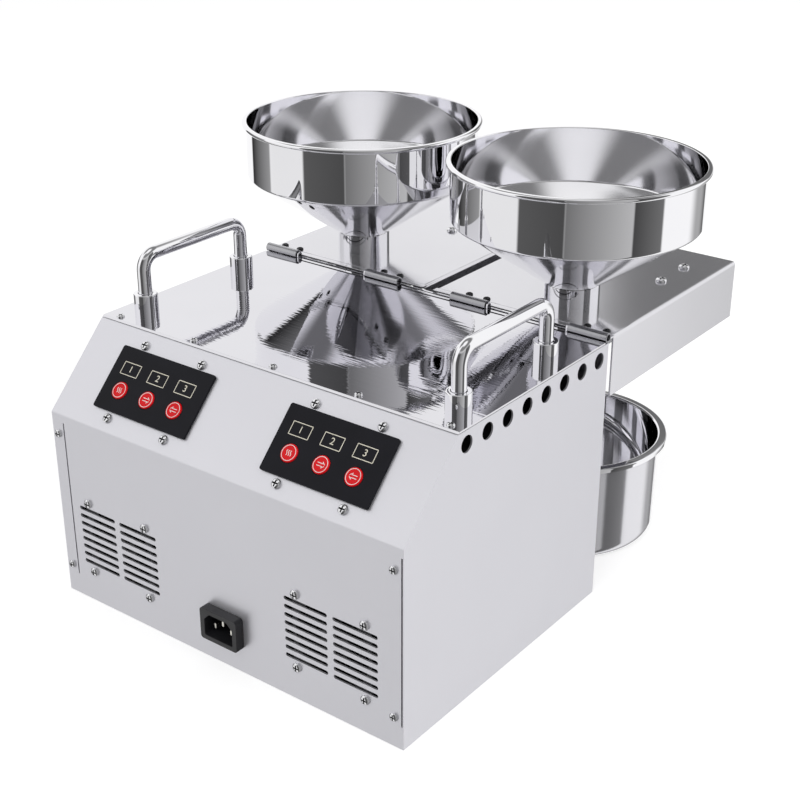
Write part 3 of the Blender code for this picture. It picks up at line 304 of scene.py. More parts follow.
def rounded_rectangle(centre, width, height, radius, steps=6):
    points = []
    for sx, sy, start in ((1, 1, 0), (-1, 1, 90), (-1, -1, 180), (1, -1, 270)):
        corner = (centre[0] + sx * (width / 2 - radius), centre[1] + sy * (height / 2 - radius))
        points += arc(corner, radius, start, start + 90, steps)
    return points


def bend_corners(points, radius, steps=6):
    """The outline's inner corners turned into arcs of this radius."""
    bent = [points[0]]
    for i in range(1, len(points) - 1):
        here = Vector(points[i])
        before = (Vector(points[i - 1]) - here).normalized()
        after = (Vector(points[i + 1]) - here).normalized()
        half = before.angle(after) / 2
        centre = here + (before + after).normalized() * radius / sin(half)
        start = here + before * radius / tan(half) - centre
        end = here + after * radius / tan(half) - centre
        angle = start.angle_signed(end)
        for step in range(steps + 1):
            bent.append(tuple(centre + Matrix.Rotation(-angle * step / steps, 2) @ start))
    return bent + [points[-1]]


def round_corners(points, radii, steps):
    """The outline's inner corners rounded, each by its own radius."""
    rounded = [points[0]]
    for i, radius in enumerate(radii, 1):
        rounded += bend_corners(points[i - 1:i + 2], radius, steps)[1:-1]
    return rounded + [points[-1]]


def thicken(points, thickness):
    """A closed outline of a strip that has its outer face on these points and its wall to their left."""
    normals = []
    for a, b in zip(points, points[1:]):
        along = (Vector(b) - Vector(a)).normalized()
        normals.append(Vector((-along.y, along.x)))
    inner = []
    for i, point in enumerate(points):
        first = normals[max(i - 1, 0)]
        second = normals[min(i, len(normals) - 1)]
        mitre = (first + second).normalized()
        inner.append(tuple(Vector(point) + mitre * thickness / mitre.dot(first)))
    return [tuple(point) for point in points] + inner[::-1]


def rectangle(start, end):
    """The outline between two opposite corners."""
    return [start, (end[0], start[1]), end, (start[0], end[1])]


def with_mirror(half, length):
    """The first half of a profile, and its mirror image from the other end."""
    return half + [(radius, length - height) for radius, height in half[::-1]]


def skin(bm, rings):
    """A face over each end, and faces between each two closed rings of points."""
    bm.faces.new(rings[0])
    bm.faces.new(rings[-1])
    for first, second in zip(rings, rings[1:]):
        for k in range(len(first)):
            j = (k + 1) % len(first)
            bm.faces.new((first[k], first[j], second[j], second[k]))


def add_prism(bm, outline, bottom, top, matrix=Matrix.Identity(4)):
    """A closed (x, y) outline swept along Z, then placed by the matrix."""
    skin(bm, [[bm.verts.new(matrix @ Vector((*point, at))) for point in outline] for at in (bottom, top)])


def add_lathe(bm, profile, segments, matrix):
    """A closed profile of (radius, height) points turned about Z, then placed by the matrix."""
    rings = []
    for radius, height in profile:
        ring = [(0, 0)] if radius == 0 else circle((0, 0), radius, segments)
        rings.append([bm.verts.new(matrix @ Vector((*point, height))) for point in ring])
    for lower, upper in zip(rings, rings[1:] + rings[:1]):
        if len(lower) == len(upper) == 1:
            continue
        for i in range(segments):
            j = (i + 1) % segments
            corners = [lower[i % len(lower)], lower[j % len(lower)]]
            corners += [upper[j % len(upper)], upper[i % len(upper)]]
            bm.faces.new(list(dict.fromkeys(corners)))


def lathe(name, profile, material, matrix, segments=FINE, angle=35):
    return even_shading(add_object(name, filled(add_lathe, profile, segments, matrix), material, angle))


def along_y(x, y, z):
    """A matrix that takes local Z to world +Y, and local X to world X."""
    return shift(x, y, z) @ turn(-pi / 2, "X")


def along_x(x, y, z):
    """A matrix that takes local Z to world +X, local X to world Y and local Y to world Z."""
    return shift(x, y, z) @ Matrix(((0, 0, 1, 0), (1, 0, 0, 0), (0, 1, 0, 0), (0, 0, 0, 1)))


def in_front(x, y, z):
    """A matrix that takes local Z to world -Y, and local Y to world Z."""
    return shift(x, y, z) @ turn(pi / 2, "X")


def combine(obj, bm, operation):
    """Joins the bmesh's solid to the object's, cuts it away, or keeps what the two share."""
    other = add_object("other", bm, obj.data.materials[0] if operation == "UNION" else None)
    modifier = obj.modifiers.new("solid", "BOOLEAN")
    modifier.operation = operation
    modifier.object = other
    apply_modifiers(obj)
    bpy.data.objects.remove(other, do_unlink=True)


def cut(obj, *solids):
    for bm in solids:
        combine(obj, bm, "DIFFERENCE")


def apply_modifiers(obj):
    depsgraph = bpy.context.evaluated_depsgraph_get()
    mesh = bpy.data.meshes.new_from_object(obj.evaluated_get(depsgraph))
    obj.modifiers.clear()
    old = obj.data
    obj.data = mesh
    bpy.data.meshes.remove(old)


def soften(obj, width, segments=2, angle=40):
    """Rounds the edges of a flat-sided piece a little, so that they catch the light."""
    mesh = obj.data
    bm = bmesh.new()
    bm.from_mesh(mesh)
    bmesh.ops.remove_doubles(bm, verts=bm.verts, dist=WELD)
    bmesh.ops.dissolve_limit(bm, angle_limit=radians(1), verts=bm.verts, edges=bm.edges)
    bm.to_mesh(mesh)
    bm.free()
    modifier = obj.modifiers.new("edges", "BEVEL")
    modifier.width = width
    modifier.segments = segments
    modifier.limit_method = "ANGLE"
    modifier.angle_limit = radians(angle)
    modifier.harden_normals = False
    apply_modifiers(obj)
    return even_shading(shade(obj, 50))


def even_shading(obj):
    """Keeps broad faces straight in reflections where they meet a small round."""
    weighted = obj.modifiers.new("normals", "WEIGHTED_NORMAL")
    weighted.keep_sharp = True
    apply_modifiers(obj)
    return obj


def copy_node(node, name, material, width=0):
    """A CAD node's solid as a piece of its own, with rounded edges."""
    bm = bmesh.new()
    bm.from_mesh(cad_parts[node].data)
    bmesh.ops.remove_doubles(bm, verts=bm.verts, dist=WELD)
    obj = add_object(name, bm, material)
    return soften(obj, width) if width else obj


# Case sheets; SLOT_SIZE and INLET_HOLE are width, height and corner radius

FLANGE_TOP = high("front_panel").z
FLANGE_RUN = 14 * MM
SHEET_EDGE = 0.25 * MM
SLOT_SIZE = (34.4 * MM, 2.8 * MM, 1.372 * MM)
SLOT_PITCH = 5.95 * MM
SLOT_COLUMN = 19.4 * MM
SLOT_COUNT = 8
SLITS_X = (-137.2 * MM, 146.7 * MM)
SLIT_WIDTH = 1.1 * MM
SLIT_BOTTOM = 16.3 * MM
SLIT_TOP = 133 * MM
INLET_HOLE = (27.6 * MM, 20.1 * MM, 2 * MM)
FRONT_BEND = 1.6 * MM
MARGIN_Y = BACK_Y - SHEET
LIP_Y = ROD_Y + 2.7 * MM
AIR_HOLE_RADIUS = 5.6 * MM
AIR_HOLE_PITCH = 21.3 * MM
AIR_HOLE_FIRST = -50.2 * MM
AIR_HOLE_Z = 181.4 * MM
AIR_HOLE_COUNT = 8
FAN_X = middle("fan_frame_right").x
FAN_Z = middle("fan_frame_right").z


def make_shell():
    """Front and sides with ground corners: air slots, slits, air holes, and holes for inlet and buttons."""
    flange_y = FRONT_Y + SLOPE_RUN * (FLANGE_TOP - FRONT_HEIGHT) / (CASE_TOP - FRONT_HEIGHT)
    spine = [
        (FRONT_Y, 0), (FRONT_Y, FRONT_HEIGHT), (flange_y, FLANGE_TOP), (flange_y + FLANGE_RUN, FLANGE_TOP),
    ]
    outline = thicken(bend_corners(spine, FRONT_BEND, 8)[::-1], SHEET)
    across = along_x(0, 0, 0)
    shell = add_solid("case_shell", SATIN, add_prism, outline, -HALF_WIDTH, HALF_WIDTH, across)
    side_outline = bend_corners(spine[:3], FRONT_BEND, 8) + [(BACK_Y, FLANGE_TOP), (BACK_Y, 0)]
    for side, _ in SIDES:
        node = f"side_panel_{side}"
        combine(shell, filled(add_prism, side_outline, low(node).x, high(node).x, across), "UNION")
    cut(shell, front_openings(), button_bores(-SHEET - OVERRUN, OVERRUN), side_holes())
    soften(shell, SHEET_EDGE, 2)
    finish_piece(shell, "case", "front_panel", "side_panel_left", "side_panel_right")


def front_openings():
    outlines = []
    for x in SLITS_X:
        half = SLIT_WIDTH / 2
        outlines.append(rectangle((x - half, SLIT_BOTTOM), (x + half, SLIT_TOP)))
    inlet = middle("inlet_socket")
    outlines.append(rounded_rectangle((inlet.x, inlet.z), *INLET_HOLE))
    for fan_x, column, i in product((-FAN_X, FAN_X), (-SLOT_COLUMN, SLOT_COLUMN), range(SLOT_COUNT)):
        centre = (fan_x + column, FAN_Z + (i - (SLOT_COUNT - 1) / 2) * SLOT_PITCH)
        outlines.append(rounded_rectangle(centre, *SLOT_SIZE, 5))
    bm = bmesh.new()
    for outline in outlines:
        add_prism(bm, outline, -SHEET - OVERRUN, OVERRUN, ON_FRONT)
    return bm


def button_bores(bottom, top):
    bm = bmesh.new()
    for place in button_places():
        add_prism(bm, circle(place, BUTTON_RADIUS + SEAT), bottom, top, ON_SLOPE)
    return bm


def side_holes():
    bm = bmesh.new()
    for side, _ in SIDES:
        near, far = low(f"side_panel_{side}").x, high(f"side_panel_{side}").x
        for i in range(AIR_HOLE_COUNT):
            centre = (AIR_HOLE_FIRST + i * AIR_HOLE_PITCH, AIR_HOLE_Z)
            add_prism(bm, circle(centre, AIR_HOLE_RADIUS), near - OVERRUN, far + OVERRUN, along_x(0, 0, 0))
    return bm


def make_flat_sheets():
    for node, material in (("top_plate", POLISHED), ("back_panel", SATIN), ("base_plate", SATIN)):
        finish_piece(copy_node(node, f"{node}_sheet", material, SHEET_EDGE), "case", node)
    make_rear_margin()


def make_rear_margin():
    """Carries the top on between the knuckles, close up to the covers' lips."""
    ends = [-HALF_WIDTH]
    for place in ("left_outer", "left_inner", "right_inner", "right_outer"):
        node = f"hinge_knuckle_{place}"
        ends += [low(node).x - SEAT, high(node).x + SEAT]
    ends.append(HALF_WIDTH)
    bm = bmesh.new()
    for start, end in zip(ends[::2], ends[1::2]):
        if end - start > MM:
            outline = rectangle((start, MARGIN_Y), (end, LIP_Y - SEAT))
            add_prism(bm, outline, CASE_TOP - SHEET, CASE_TOP)
    finish_piece(add_object("rear_margin", bm, POLISHED), "case")


# Mains inlet; its flange and body are width, height and corner radius, its socket half width and height

INLET_FLANGE = (31.8 * MM, 23.3 * MM, 2.2 * MM)
INLET_BODY = (27 * MM, 19.5 * MM, 2 * MM)
INLET_OVERLAP = 1 * MM
INLET_EDGE = 0.5 * MM
SOCKET_HALF = (12 * MM, 8.2 * MM)
SOCKET_CORNER = 4.4 * MM
SOCKET_ROUND = 1 * MM
SOCKET_DEPTH = 16.5 * MM
PIN_EDGE = 0.35 * MM


def make_inlet():
    """A moulded inlet with rounded edges, a cornered socket and three blades."""
    node = "inlet_socket"
    place = in_front(middle(node).x, FRONT_Y, middle(node).z)
    stand, back = FRONT_Y - low(node).y, FRONT_Y - high(node).y
    flange = rounded_rectangle((0, 0), *INLET_FLANGE)
    inlet = add_solid("inlet_moulding", BLACK, add_prism, flange, SEAT, stand, place)
    body = filled(add_prism, rounded_rectangle((0, 0), *INLET_BODY), back, INLET_OVERLAP, place)
    combine(inlet, body, "UNION")
    w, h = SOCKET_HALF
    slant = [(w, h - SOCKET_CORNER), (w - SOCKET_CORNER, h)]
    outline = [(0, -h), (w, -h), *slant, *[(-x, y) for x, y in slant[::-1]], (-w, -h), (0, -h)]
    socket = bend_corners(outline, SOCKET_ROUND, 4)[:-1]
    cut(inlet, filled(add_prism, socket, stand - SOCKET_DEPTH, stand + OVERRUN, place))
    soften(inlet, INLET_EDGE, 3)
    finish_piece(inlet, "case", node)
    for name in ("line", "earth", "neutral"):
        pin = copy_node(f"inlet_pin_{name}", f"inlet_blade_{name}", PIN, PIN_EDGE)
        finish_piece(pin, "case", f"inlet_pin_{name}")


# Control panels and push buttons, in slope coordinates

PANEL_HEIGHT = 45.4 * MM
PANEL_CORNER = 1.5 * MM
PANEL_TOP = 1.9 * MM
PANEL_EDGE = 0.3 * MM
BUTTON_RADIUS = 6 * MM
BUTTON_TOP = 2.8 * MM
BUTTON_UNDER = -1.6 * MM
BUTTON_ROUND = 0.6 * MM
DISH = 0.25 * MM
DISH_BEND_RADIUS = 3.6 * MM
DISH_BEND_DEPTH = 0.175 * MM
RING_INNER = 4.8 * MM
RING_OUTER = 5.16 * MM
RING_SINK = 0.02 * MM
INK = 0.06 * MM
STROKE = 0.42 * MM
ARROW_STROKE = 0.5 * MM
WAVE_PITCH = 1.5 * MM
WAVE_LENGTH = 3.6 * MM
WAVE_SWAY = 0.42 * MM
WAVE_STEPS = 12
ARROW_REACH = 3.4 * MM
ARROW_RISE = 0.9 * MM
ARROW_NECK = 1.6 * MM
BARB_REACH = 0.9 * MM
BARB_RISE = 2 * MM
FRAME_STROKE = 0.5 * MM
LABEL_RISE = 44.2 * MM
LABEL_SIZE = (15 * MM, 8.6 * MM)
NUMBER_SIZE = 6.4 * MM


def slope_place(node):
    """A node's middle as X and way up the slope."""
    place = ON_SLOPE.inverted() @ middle(node)
    return place.x, place.y


def button_places():
    return [slope_place(f"button_{side}_{i}") for side, _ in SIDES for i in KEYS]


def make_panel(side):
    node = f"control_panel_{side}"
    outline = rounded_rectangle(slope_place(node), size(node).x, PANEL_HEIGHT, PANEL_CORNER)
    panel = add_solid(f"key_panel_{side}", PANEL_BLACK, add_prism, outline, SEAT, PANEL_TOP, ON_SLOPE)
    cut(panel, button_bores(-OVERRUN, PANEL_TOP + OVERRUN))
    soften(panel, PANEL_EDGE, 3)
    finish_piece(panel, "case", node)


def make_button(side, number):
    """A key with a rounded edge and a shallow dish, and a pale mark of its own."""
    node = f"button_{side}_{number}"
    place = ON_SLOPE @ shift(*slope_place(node), 0)
    shoulder = BUTTON_TOP - BUTTON_ROUND
    profile = [(0, BUTTON_UNDER), (BUTTON_RADIUS, BUTTON_UNDER), (BUTTON_RADIUS, shoulder)]
    profile += arc((BUTTON_RADIUS - BUTTON_ROUND, shoulder), BUTTON_ROUND, 15, 90, 5)
    profile += [(RING_OUTER, BUTTON_TOP), (DISH_BEND_RADIUS, BUTTON_TOP - DISH_BEND_DEPTH)]
    profile.append((0, BUTTON_TOP - DISH))
    finish_piece(lathe(f"key_{side}_{number}", profile, RED, place, BORE_ROUND, 50), node, node)
    bm = bmesh.new()
    ring = rectangle((RING_INNER, 0), (RING_OUTER, INK))
    add_lathe(bm, ring, BORE_ROUND, place @ shift(0, 0, BUTTON_TOP - RING_SINK))
    mark_at = place @ shift(0, 0, BUTTON_TOP - DISH)
    if number == 1:
        for i in (-1, 0, 1):
            add_stroke(bm, wave(i * WAVE_PITCH), STROKE, DISH, mark_at)
    else:
        towards = 1 if number == 2 else -1
        for rise in (-ARROW_RISE, ARROW_RISE):
            line = [(-towards * ARROW_REACH, rise), (towards * ARROW_NECK, rise)]
            add_stroke(bm, line, STROKE, DISH, mark_at)
        barb = towards * BARB_REACH
        tip = [(barb, BARB_RISE), (towards * ARROW_REACH, 0), (barb, -BARB_RISE)]
        add_stroke(bm, tip, ARROW_STROKE, DISH, mark_at)
    finish_piece(add_object(f"key_mark_{side}_{number}", bm, WHITE_INK), node)


def wave(x):
    points = []
    for step in range(WAVE_STEPS + 1):
        t = step / WAVE_STEPS
        points.append((x + WAVE_SWAY * sin(2 * pi * t), (t - 0.5) * WAVE_LENGTH))
    return points


def add_stroke(bm, points, width, depth, matrix):
    """A flat stroke of ink along the points."""
    left, right = [], []
    for i, point in enumerate(points):
        before = Vector(points[max(i - 1, 0)])
        after = Vector(points[min(i + 1, len(points) - 1)])
        along = (after - before).normalized()
        side = Vector((-along.y, along.x)) * width / 2
        left.append(tuple(Vector(point) + side))
        right.append(tuple(Vector(point) - side))
    for i in range(len(points) - 1):
        add_prism(bm, [left[i], left[i + 1], right[i + 1], right[i]], -depth, INK, matrix)


def make_labels(side):
    """A pale frame over each key, with the key's number in it."""
    w, h = LABEL_SIZE[0] / 2, LABEL_SIZE[1] / 2
    corners = rectangle((-w, -h), (w, h))
    columns = [slope_place(f"button_{side}_{number}")[0] for number in KEYS]
    places = [ON_SLOPE @ shift(x, LABEL_RISE, PANEL_TOP) for x in columns]
    bm = bmesh.new()
    for place in places:
        for a, b in zip(corners, corners[1:] + corners[:1]):
            add_stroke(bm, [a, b], FRAME_STROKE, 0, place)
    finish_piece(add_object(f"key_frames_{side}", bm, CREAM_INK), "case")
    for number, place in zip(KEYS, places):
        name = f"key_number_{side}_{number}"
        curve = bpy.data.curves.new(name, "FONT")
        curve.body = str(number)
        curve.size = NUMBER_SIZE
        curve.align_x = "CENTER"
        curve.align_y = "CENTER"
        curve.extrude = INK
        curve.materials.append(CREAM_INK)
        text = place_object(name, curve)
        text.matrix_world = place
        finish_piece(text, "case")


# Carrying handles

TUBE_RADIUS = 4.75 * MM
HANDLE_BEND = 10.5 * MM
COLLAR_ROUND = 0.8 * MM


def make_handle(side):
    """A polished bent tube, and the two turned collars that hold its feet."""
    node = f"handle_{side}"
    x = middle(node).x
    near, far = low(node).y + TUBE_RADIUS, high(node).y - TUBE_RADIUS
    foot, top = low(node).z, high(node).z - TUBE_RADIUS
    route = bend_corners([(near, foot), (near, top), (far, top), (far, foot)], HANDLE_BEND, 14)
    tube = filled(add_tube, [Vector((x, *point)) for point in route], TUBE_RADIUS, 40)
    finish_piece(add_object(f"handle_tube_{side}", tube, CHROME, 60), "case", node)
    for end in ("front", "rear"):
        node = f"handle_collar_{side}_{end}"
        place, top = middle(node), high(node).z
        outer = high(node).x - place.x
        inner = TUBE_RADIUS + SEAT
        profile = [(inner, CASE_TOP), (outer, CASE_TOP), (outer, top - COLLAR_ROUND)]
        profile += arc((outer - COLLAR_ROUND, top - COLLAR_ROUND), COLLAR_ROUND, 20, 90, 4)
        profile += [(inner + SEAT, top), (inner, top - SEAT)]
        collar = lathe(f"collar_{side}_{end}", profile, CHROME, shift(place.x, place.y, 0), BORE_ROUND)
        finish_piece(collar, "case", node)


def add_tube(bm, points, radius, segments):
    """A tube along points that lie in a plane of constant X."""
    across = Vector((1, 0, 0))
    rings = []
    for i, point in enumerate(points):
        before = points[max(i - 1, 0)]
        after = points[min(i + 1, len(points) - 1)]
        up = (after - before).normalized().cross(across)
        ring = circle((0, 0), radius, segments)
        rings.append([bm.verts.new(point + across * a + up * b) for a, b in ring])
    skin(bm, rings)


# Hinge

KNUCKLE_BORE = 1.1 * MM
KNUCKLE_MOUTH = 2.3 * MM
KNUCKLE_DEPTH = 2.5 * MM
KNUCKLE_EDGE = 0.25 * MM
LEAF_INSET = 3.2 * MM
LEAF_START = ROD_Y + 3.5 * MM
LEAF_END = ROD_Y + 15.5 * MM
LEAF_THICKNESS = 1 * MM
ROD_SHARE = 0.7


def make_hinge():
    """The rod, and the knuckles with the bores that it runs in."""
    node = "hinge_rod"
    profile = rectangle((0, 0), (size(node).z / 2 * ROD_SHARE, size(node).x))
    rod = lathe("rod", profile, DARK, along_x(low(node).x, ROD_Y, ROD_Z), SMALL_ROUND)
    finish_piece(rod, "case", node)
    for side, place in product(("left", "right"), ("outer", "inner")):
        make_knuckle(side, place)


def make_knuckle(side, place):
    node = f"hinge_knuckle_{side}_{place}"
    near, far = low(node).x, high(node).x
    outer = size(node).z / 2
    end = [
        (KNUCKLE_BORE, KNUCKLE_DEPTH), (KNUCKLE_MOUTH, KNUCKLE_DEPTH), (KNUCKLE_MOUTH, KNUCKLE_EDGE),
        (KNUCKLE_MOUTH + KNUCKLE_EDGE, 0), (outer - KNUCKLE_EDGE, 0), (outer, KNUCKLE_EDGE),
    ]
    profile = with_mirror(end, far - near)
    knuckle = lathe(f"knuckle_{side}_{place}", profile, KNUCKLE, along_x(near, ROD_Y, ROD_Z), ROUND)
    top = COVER_TOP - SHEET - SEAT
    outline = rectangle((near + LEAF_INSET, LEAF_START), (far - LEAF_INSET, LEAF_END))
    leaf = add_solid(f"knuckle_leaf_{side}_{place}", KNUCKLE, add_prism, outline, top - LEAF_THICKNESS, top)
    finish_piece(leaf, f"cover_{side}")
    finish_piece(knuckle, f"cover_{side}", node)


# Covers

COVER_BEND = 2.4 * MM
COVER_EDGE = 0.2 * MM
ARCH_RADIUS = 21 * MM
SPOUT_RADIUS = 17.8 * MM
SLEEVE_RADIUS = 19.3 * MM
SLEEVE_HEIGHT = 14 * MM
SLEEVE_CHAMFER_SHARE = 0.69
SMILE_RADIUS = 9.4 * MM
SMILE_RISE = 2.4 * MM
SMILE_WIDTH = 0.6 * MM
SMILE_SPREAD = 66
SMILE_TURN = radians(17)


def make_cover(side, sign):
    """A folded cover with finely rounded folds, and the sleeve that the hopper sits in."""
    node = f"cover_{side}"
    near, far = low(node), high(node)
    x = sign * HEAD_X
    lengthwise = in_front(0, 0, 0)
    spine = [(near.x, near.z), (near.x, far.z), (far.x, far.z), (far.x, near.z)]
    outside = filled(add_prism, bend_corners(spine, COVER_BEND, 10), -far.y, -near.y, lengthwise)
    cover = add_object(f"cover_sheet_{side}", outside, COVER_STEEL, 50)
    under = near.z - OVERRUN
    inner = [
        (near.x + SHEET, under), (near.x + SHEET, far.z - SHEET),
        (far.x - SHEET, far.z - SHEET), (far.x - SHEET, under),
    ]
    folded = bend_corners(inner, COVER_BEND - SHEET, 8)
    hollow = filled(add_prism, folded, SHEET - far.y, OVERRUN - near.y, lengthwise)
    curve = arc((x, AXIS_Z), ARCH_RADIUS, 0, 180, 48)
    opening = [(x + ARCH_RADIUS, under), *curve, (x - ARCH_RADIUS, under)]
    arch = filled(add_prism, opening, -far.y - OVERRUN, SHEET + OVERRUN - far.y, lengthwise)
    hole = circle((x, HOPPER_Y), SPOUT_RADIUS + SEAT, BORE_ROUND)
    cut(cover, hollow, arch, filled(add_prism, hole, far.z - SHEET - OVERRUN, far.z + OVERRUN))
    lip = rectangle((near.x, LIP_Y), (far.x, near.y + SHEET))
    combine(cover, filled(add_prism, lip, far.z - SHEET, far.z), "UNION")
    soften(shade(cover, 35), COVER_EDGE, 2, 50)
    finish_piece(cover, node, node)
    shield = f"heat_shield_{side}"
    finish_piece(copy_node(shield, f"shield_{side}", SATIN, COVER_EDGE), node, shield)
    make_sleeve(side, x)


def make_sleeve(side, x):
    """A sleeve with a narrow curved slot below its rim."""
    node = f"hopper_sleeve_{side}"
    top = high(node).z
    inner = SLEEVE_RADIUS - SHEET
    profile = [
        (inner, COVER_TOP), (SLEEVE_RADIUS, COVER_TOP), (SLEEVE_RADIUS, top - COVER_EDGE),
        (SLEEVE_RADIUS - COVER_EDGE, top), (inner, top - SHEET * SLEEVE_CHAMFER_SHARE),
    ]
    sleeve = lathe(f"sleeve_{side}", profile, CHROME, shift(x, HOPPER_Y, 0), FINE)
    place = shift(x, HOPPER_Y, COVER_TOP + SLEEVE_HEIGHT + SMILE_RISE)
    place = place @ turn(SMILE_TURN, "Z") @ turn(pi / 2, "X")
    ends = (-90 - SMILE_SPREAD, -90 + SMILE_SPREAD)
    outline = arc((0, 0), SMILE_RADIUS + SMILE_WIDTH / 2, *ends, 48)
    outline += arc((0, 0), SMILE_RADIUS - SMILE_WIDTH / 2, *ends, 48)[::-1]
    cut(sleeve, filled(add_prism, outline, 0, SLEEVE_RADIUS + OVERRUN, place))
    finish_piece(shade(sleeve, 30), f"cover_{side}", node)


# Hoppers and pots

HOPPER_WALL = 0.8 * MM
BEAD_RADIUS = 1.65 * MM
BEAD_LIP = 0.5 * MM
BAND_SEAM = 3.3 * MM
BOWL_RADII = (0.05 * MM, 2.5 * MM)
BOWL_INNER_RADII = (1.8 * MM, 1.5 * MM)

POT_WALL = 1 * MM
POT_FLANGE = 5.8 * MM
POT_TAPER = 0.6 * MM
POT_LIP = 3.4 * MM
POT_CORNER = 9 * MM
POT_RADII = (POT_CORNER, 0.6 * MM, 0.5 * MM)
POT_INNER_RADII = (1.5 * MM, 1.6 * MM, POT_CORNER - POT_WALL)


def make_hopper(side, sign):
    """One spun and welded bowl: spout, cone, band and rolled rim. Only the cone's inside isn't polished."""
    node, band_node = f"hopper_{side}", f"hopper_band_{side}"
    band = size(band_node).x / 2 - 2 * BEAD_RADIUS + SEAT
    band_foot = low(band_node).z - BAND_SEAM
    rim = high(band_node).z - BEAD_RADIUS
    foot = low(node).z
    cone_foot = COVER_TOP + SLEEVE_HEIGHT
    angle = atan2(band_foot - cone_foot, band - SLEEVE_RADIUS)
    rise = tan(angle)
    spout_top = cone_foot - (SLEEVE_RADIUS - SPOUT_RADIUS) * rise
    drop = HOPPER_WALL / cos(angle) - HOPPER_WALL * rise
    inner = SPOUT_RADIUS - HOPPER_WALL
    outer_line = [(SPOUT_RADIUS, foot), (SPOUT_RADIUS, spout_top), (band, band_foot), (band, rim)]
    profile = round_corners(outer_line, BOWL_RADII, 8)
    bead = (band + BEAD_RADIUS - SEAT, rim)
    seam = degrees(asin((bead[0] - band) / BEAD_RADIUS))
    profile = profile[:-1] + arc(bead, BEAD_RADIUS, -90 - seam, 90, 16)
    lip = (band - HOPPER_WALL + BEAD_LIP, rim + BEAD_RADIUS - BEAD_LIP)
    profile += arc(lip, BEAD_LIP, 90, 180, 6)
    inside = band - HOPPER_WALL
    inner_line = [(inside, rim), (inside, band_foot + drop), (inner, spout_top + drop), (inner, foot)]
    profile += round_corners(inner_line, BOWL_INNER_RADII, 8)[1:]
    hopper = lathe(f"hopper_bowl_{side}", profile, SPUN, shift(sign * HEAD_X, HOPPER_Y, 0), BOWL_ROUND, 30)
    hopper.data.materials.append(CHROME)
    for face in hopper.data.polygons:
        if face.center.z > band_foot or face.normal.z <= 0:
            face.material_index = 1
    finish_piece(hopper, node, node, band_node)


def make_pot(side):
    """A drawn cup with a rounded foot and a flange turned down at its edge. Its outer wall is duller."""
    node = f"oil_pot_{side}"
    place = middle(node)
    top = high(node).z
    flange = size(node).x / 2
    wall_top = flange - POT_FLANGE
    foot = wall_top - POT_TAPER
    hem, lip = flange - POT_WALL, top - POT_LIP
    outside = [(0, 0), (foot, 0), (wall_top, top - POT_WALL), (hem, top - POT_WALL), (hem, lip)]
    inside = [(flange, lip), (flange, top), (wall_top - POT_WALL, top)]
    inside += [(foot - POT_WALL, POT_WALL), (0, POT_WALL)]
    profile = round_corners(outside, POT_RADII, 8) + round_corners(inside, POT_INNER_RADII, 8)
    pot = lathe(f"pot_{side}", profile, CHROME, shift(place.x, place.y, 0), BOWL_ROUND, 30)
    pot.data.materials.append(COVER_STEEL)
    for face in pot.data.polygons:
        outward = face.center.xy - place.xy
        if face.normal.xy.dot(outward) > 0 and face.center.z < lip:
            face.material_index = 1
    finish_piece(pot, node, node)


# Barrels, heaters and nuts; OIL_SLOT_SIZE is width, length and corner radius

BARREL_RADIUS = 19 * MM
BARREL_EDGE = 0.5 * MM
BORE_RADIUS = 13.5 * MM
FLANGE_RADIUS = 25 * MM
FLANGE_THICKNESS = 5 * MM
FEED_BOSS_RADIUS = 18.5 * MM
FEED_RADIUS = 13 * MM
OIL_SLOTS = 5
OIL_SLOT_SPREAD = radians(22)
OIL_SLOT_SIZE = (1.6 * MM, 32 * MM, 0.768 * MM)
OIL_SLOT_Y = 80 * MM


def make_barrel(side, sign):
    """The turned barrel: flange, feed boss, oil slots under it, and a bore through."""
    node = f"press_barrel_{side}"
    x = sign * HEAD_X
    start, length = low(node).y, size(node).y
    height = high(node).z - AXIS_Z
    edge = BARREL_EDGE
    profile = [
        (BORE_RADIUS, edge), (BORE_RADIUS + edge, 0), (FLANGE_RADIUS - edge, 0), (FLANGE_RADIUS, edge),
        (FLANGE_RADIUS, FLANGE_THICKNESS - edge), (FLANGE_RADIUS - edge, FLANGE_THICKNESS),
        (BARREL_RADIUS, FLANGE_THICKNESS), (BARREL_RADIUS, length - edge), (BARREL_RADIUS - edge, length),
        (BORE_RADIUS + edge, length), (BORE_RADIUS, length - edge),
    ]
    place, upright = along_y(x, start, AXIS_Z), shift(x, HOPPER_Y, AXIS_Z)
    barrel = lathe(f"barrel_{side}", profile, CAST, place, BORE_ROUND)
    boss = [
        (0, 0), (FEED_BOSS_RADIUS, 0), (FEED_BOSS_RADIUS, height - edge), (FEED_BOSS_RADIUS - edge, height),
        (0, height),
    ]
    combine(barrel, filled(add_lathe, boss, BORE_ROUND, upright), "UNION")
    outline = rectangle((0, -OVERRUN), (BORE_RADIUS, length + OVERRUN))
    bore = filled(add_lathe, outline, BORE_ROUND, place)
    feed = filled(add_lathe, rectangle((0, 0), (FEED_RADIUS, height + OVERRUN)), BORE_ROUND, upright)
    slots = bmesh.new()
    for i in range(OIL_SLOTS):
        at = place @ shift(0, 0, OIL_SLOT_Y) @ turn((i - (OIL_SLOTS - 1) / 2) * OIL_SLOT_SPREAD, "Z")
        outline = rounded_rectangle((0, 0), *OIL_SLOT_SIZE, 5)
        add_prism(slots, outline, BORE_RADIUS / 2, BARREL_RADIUS + OVERRUN, at @ turn(-pi / 2, "X"))
    cut(barrel, bore, feed, slots)
    finish_piece(shade(barrel, 30), "case", node)


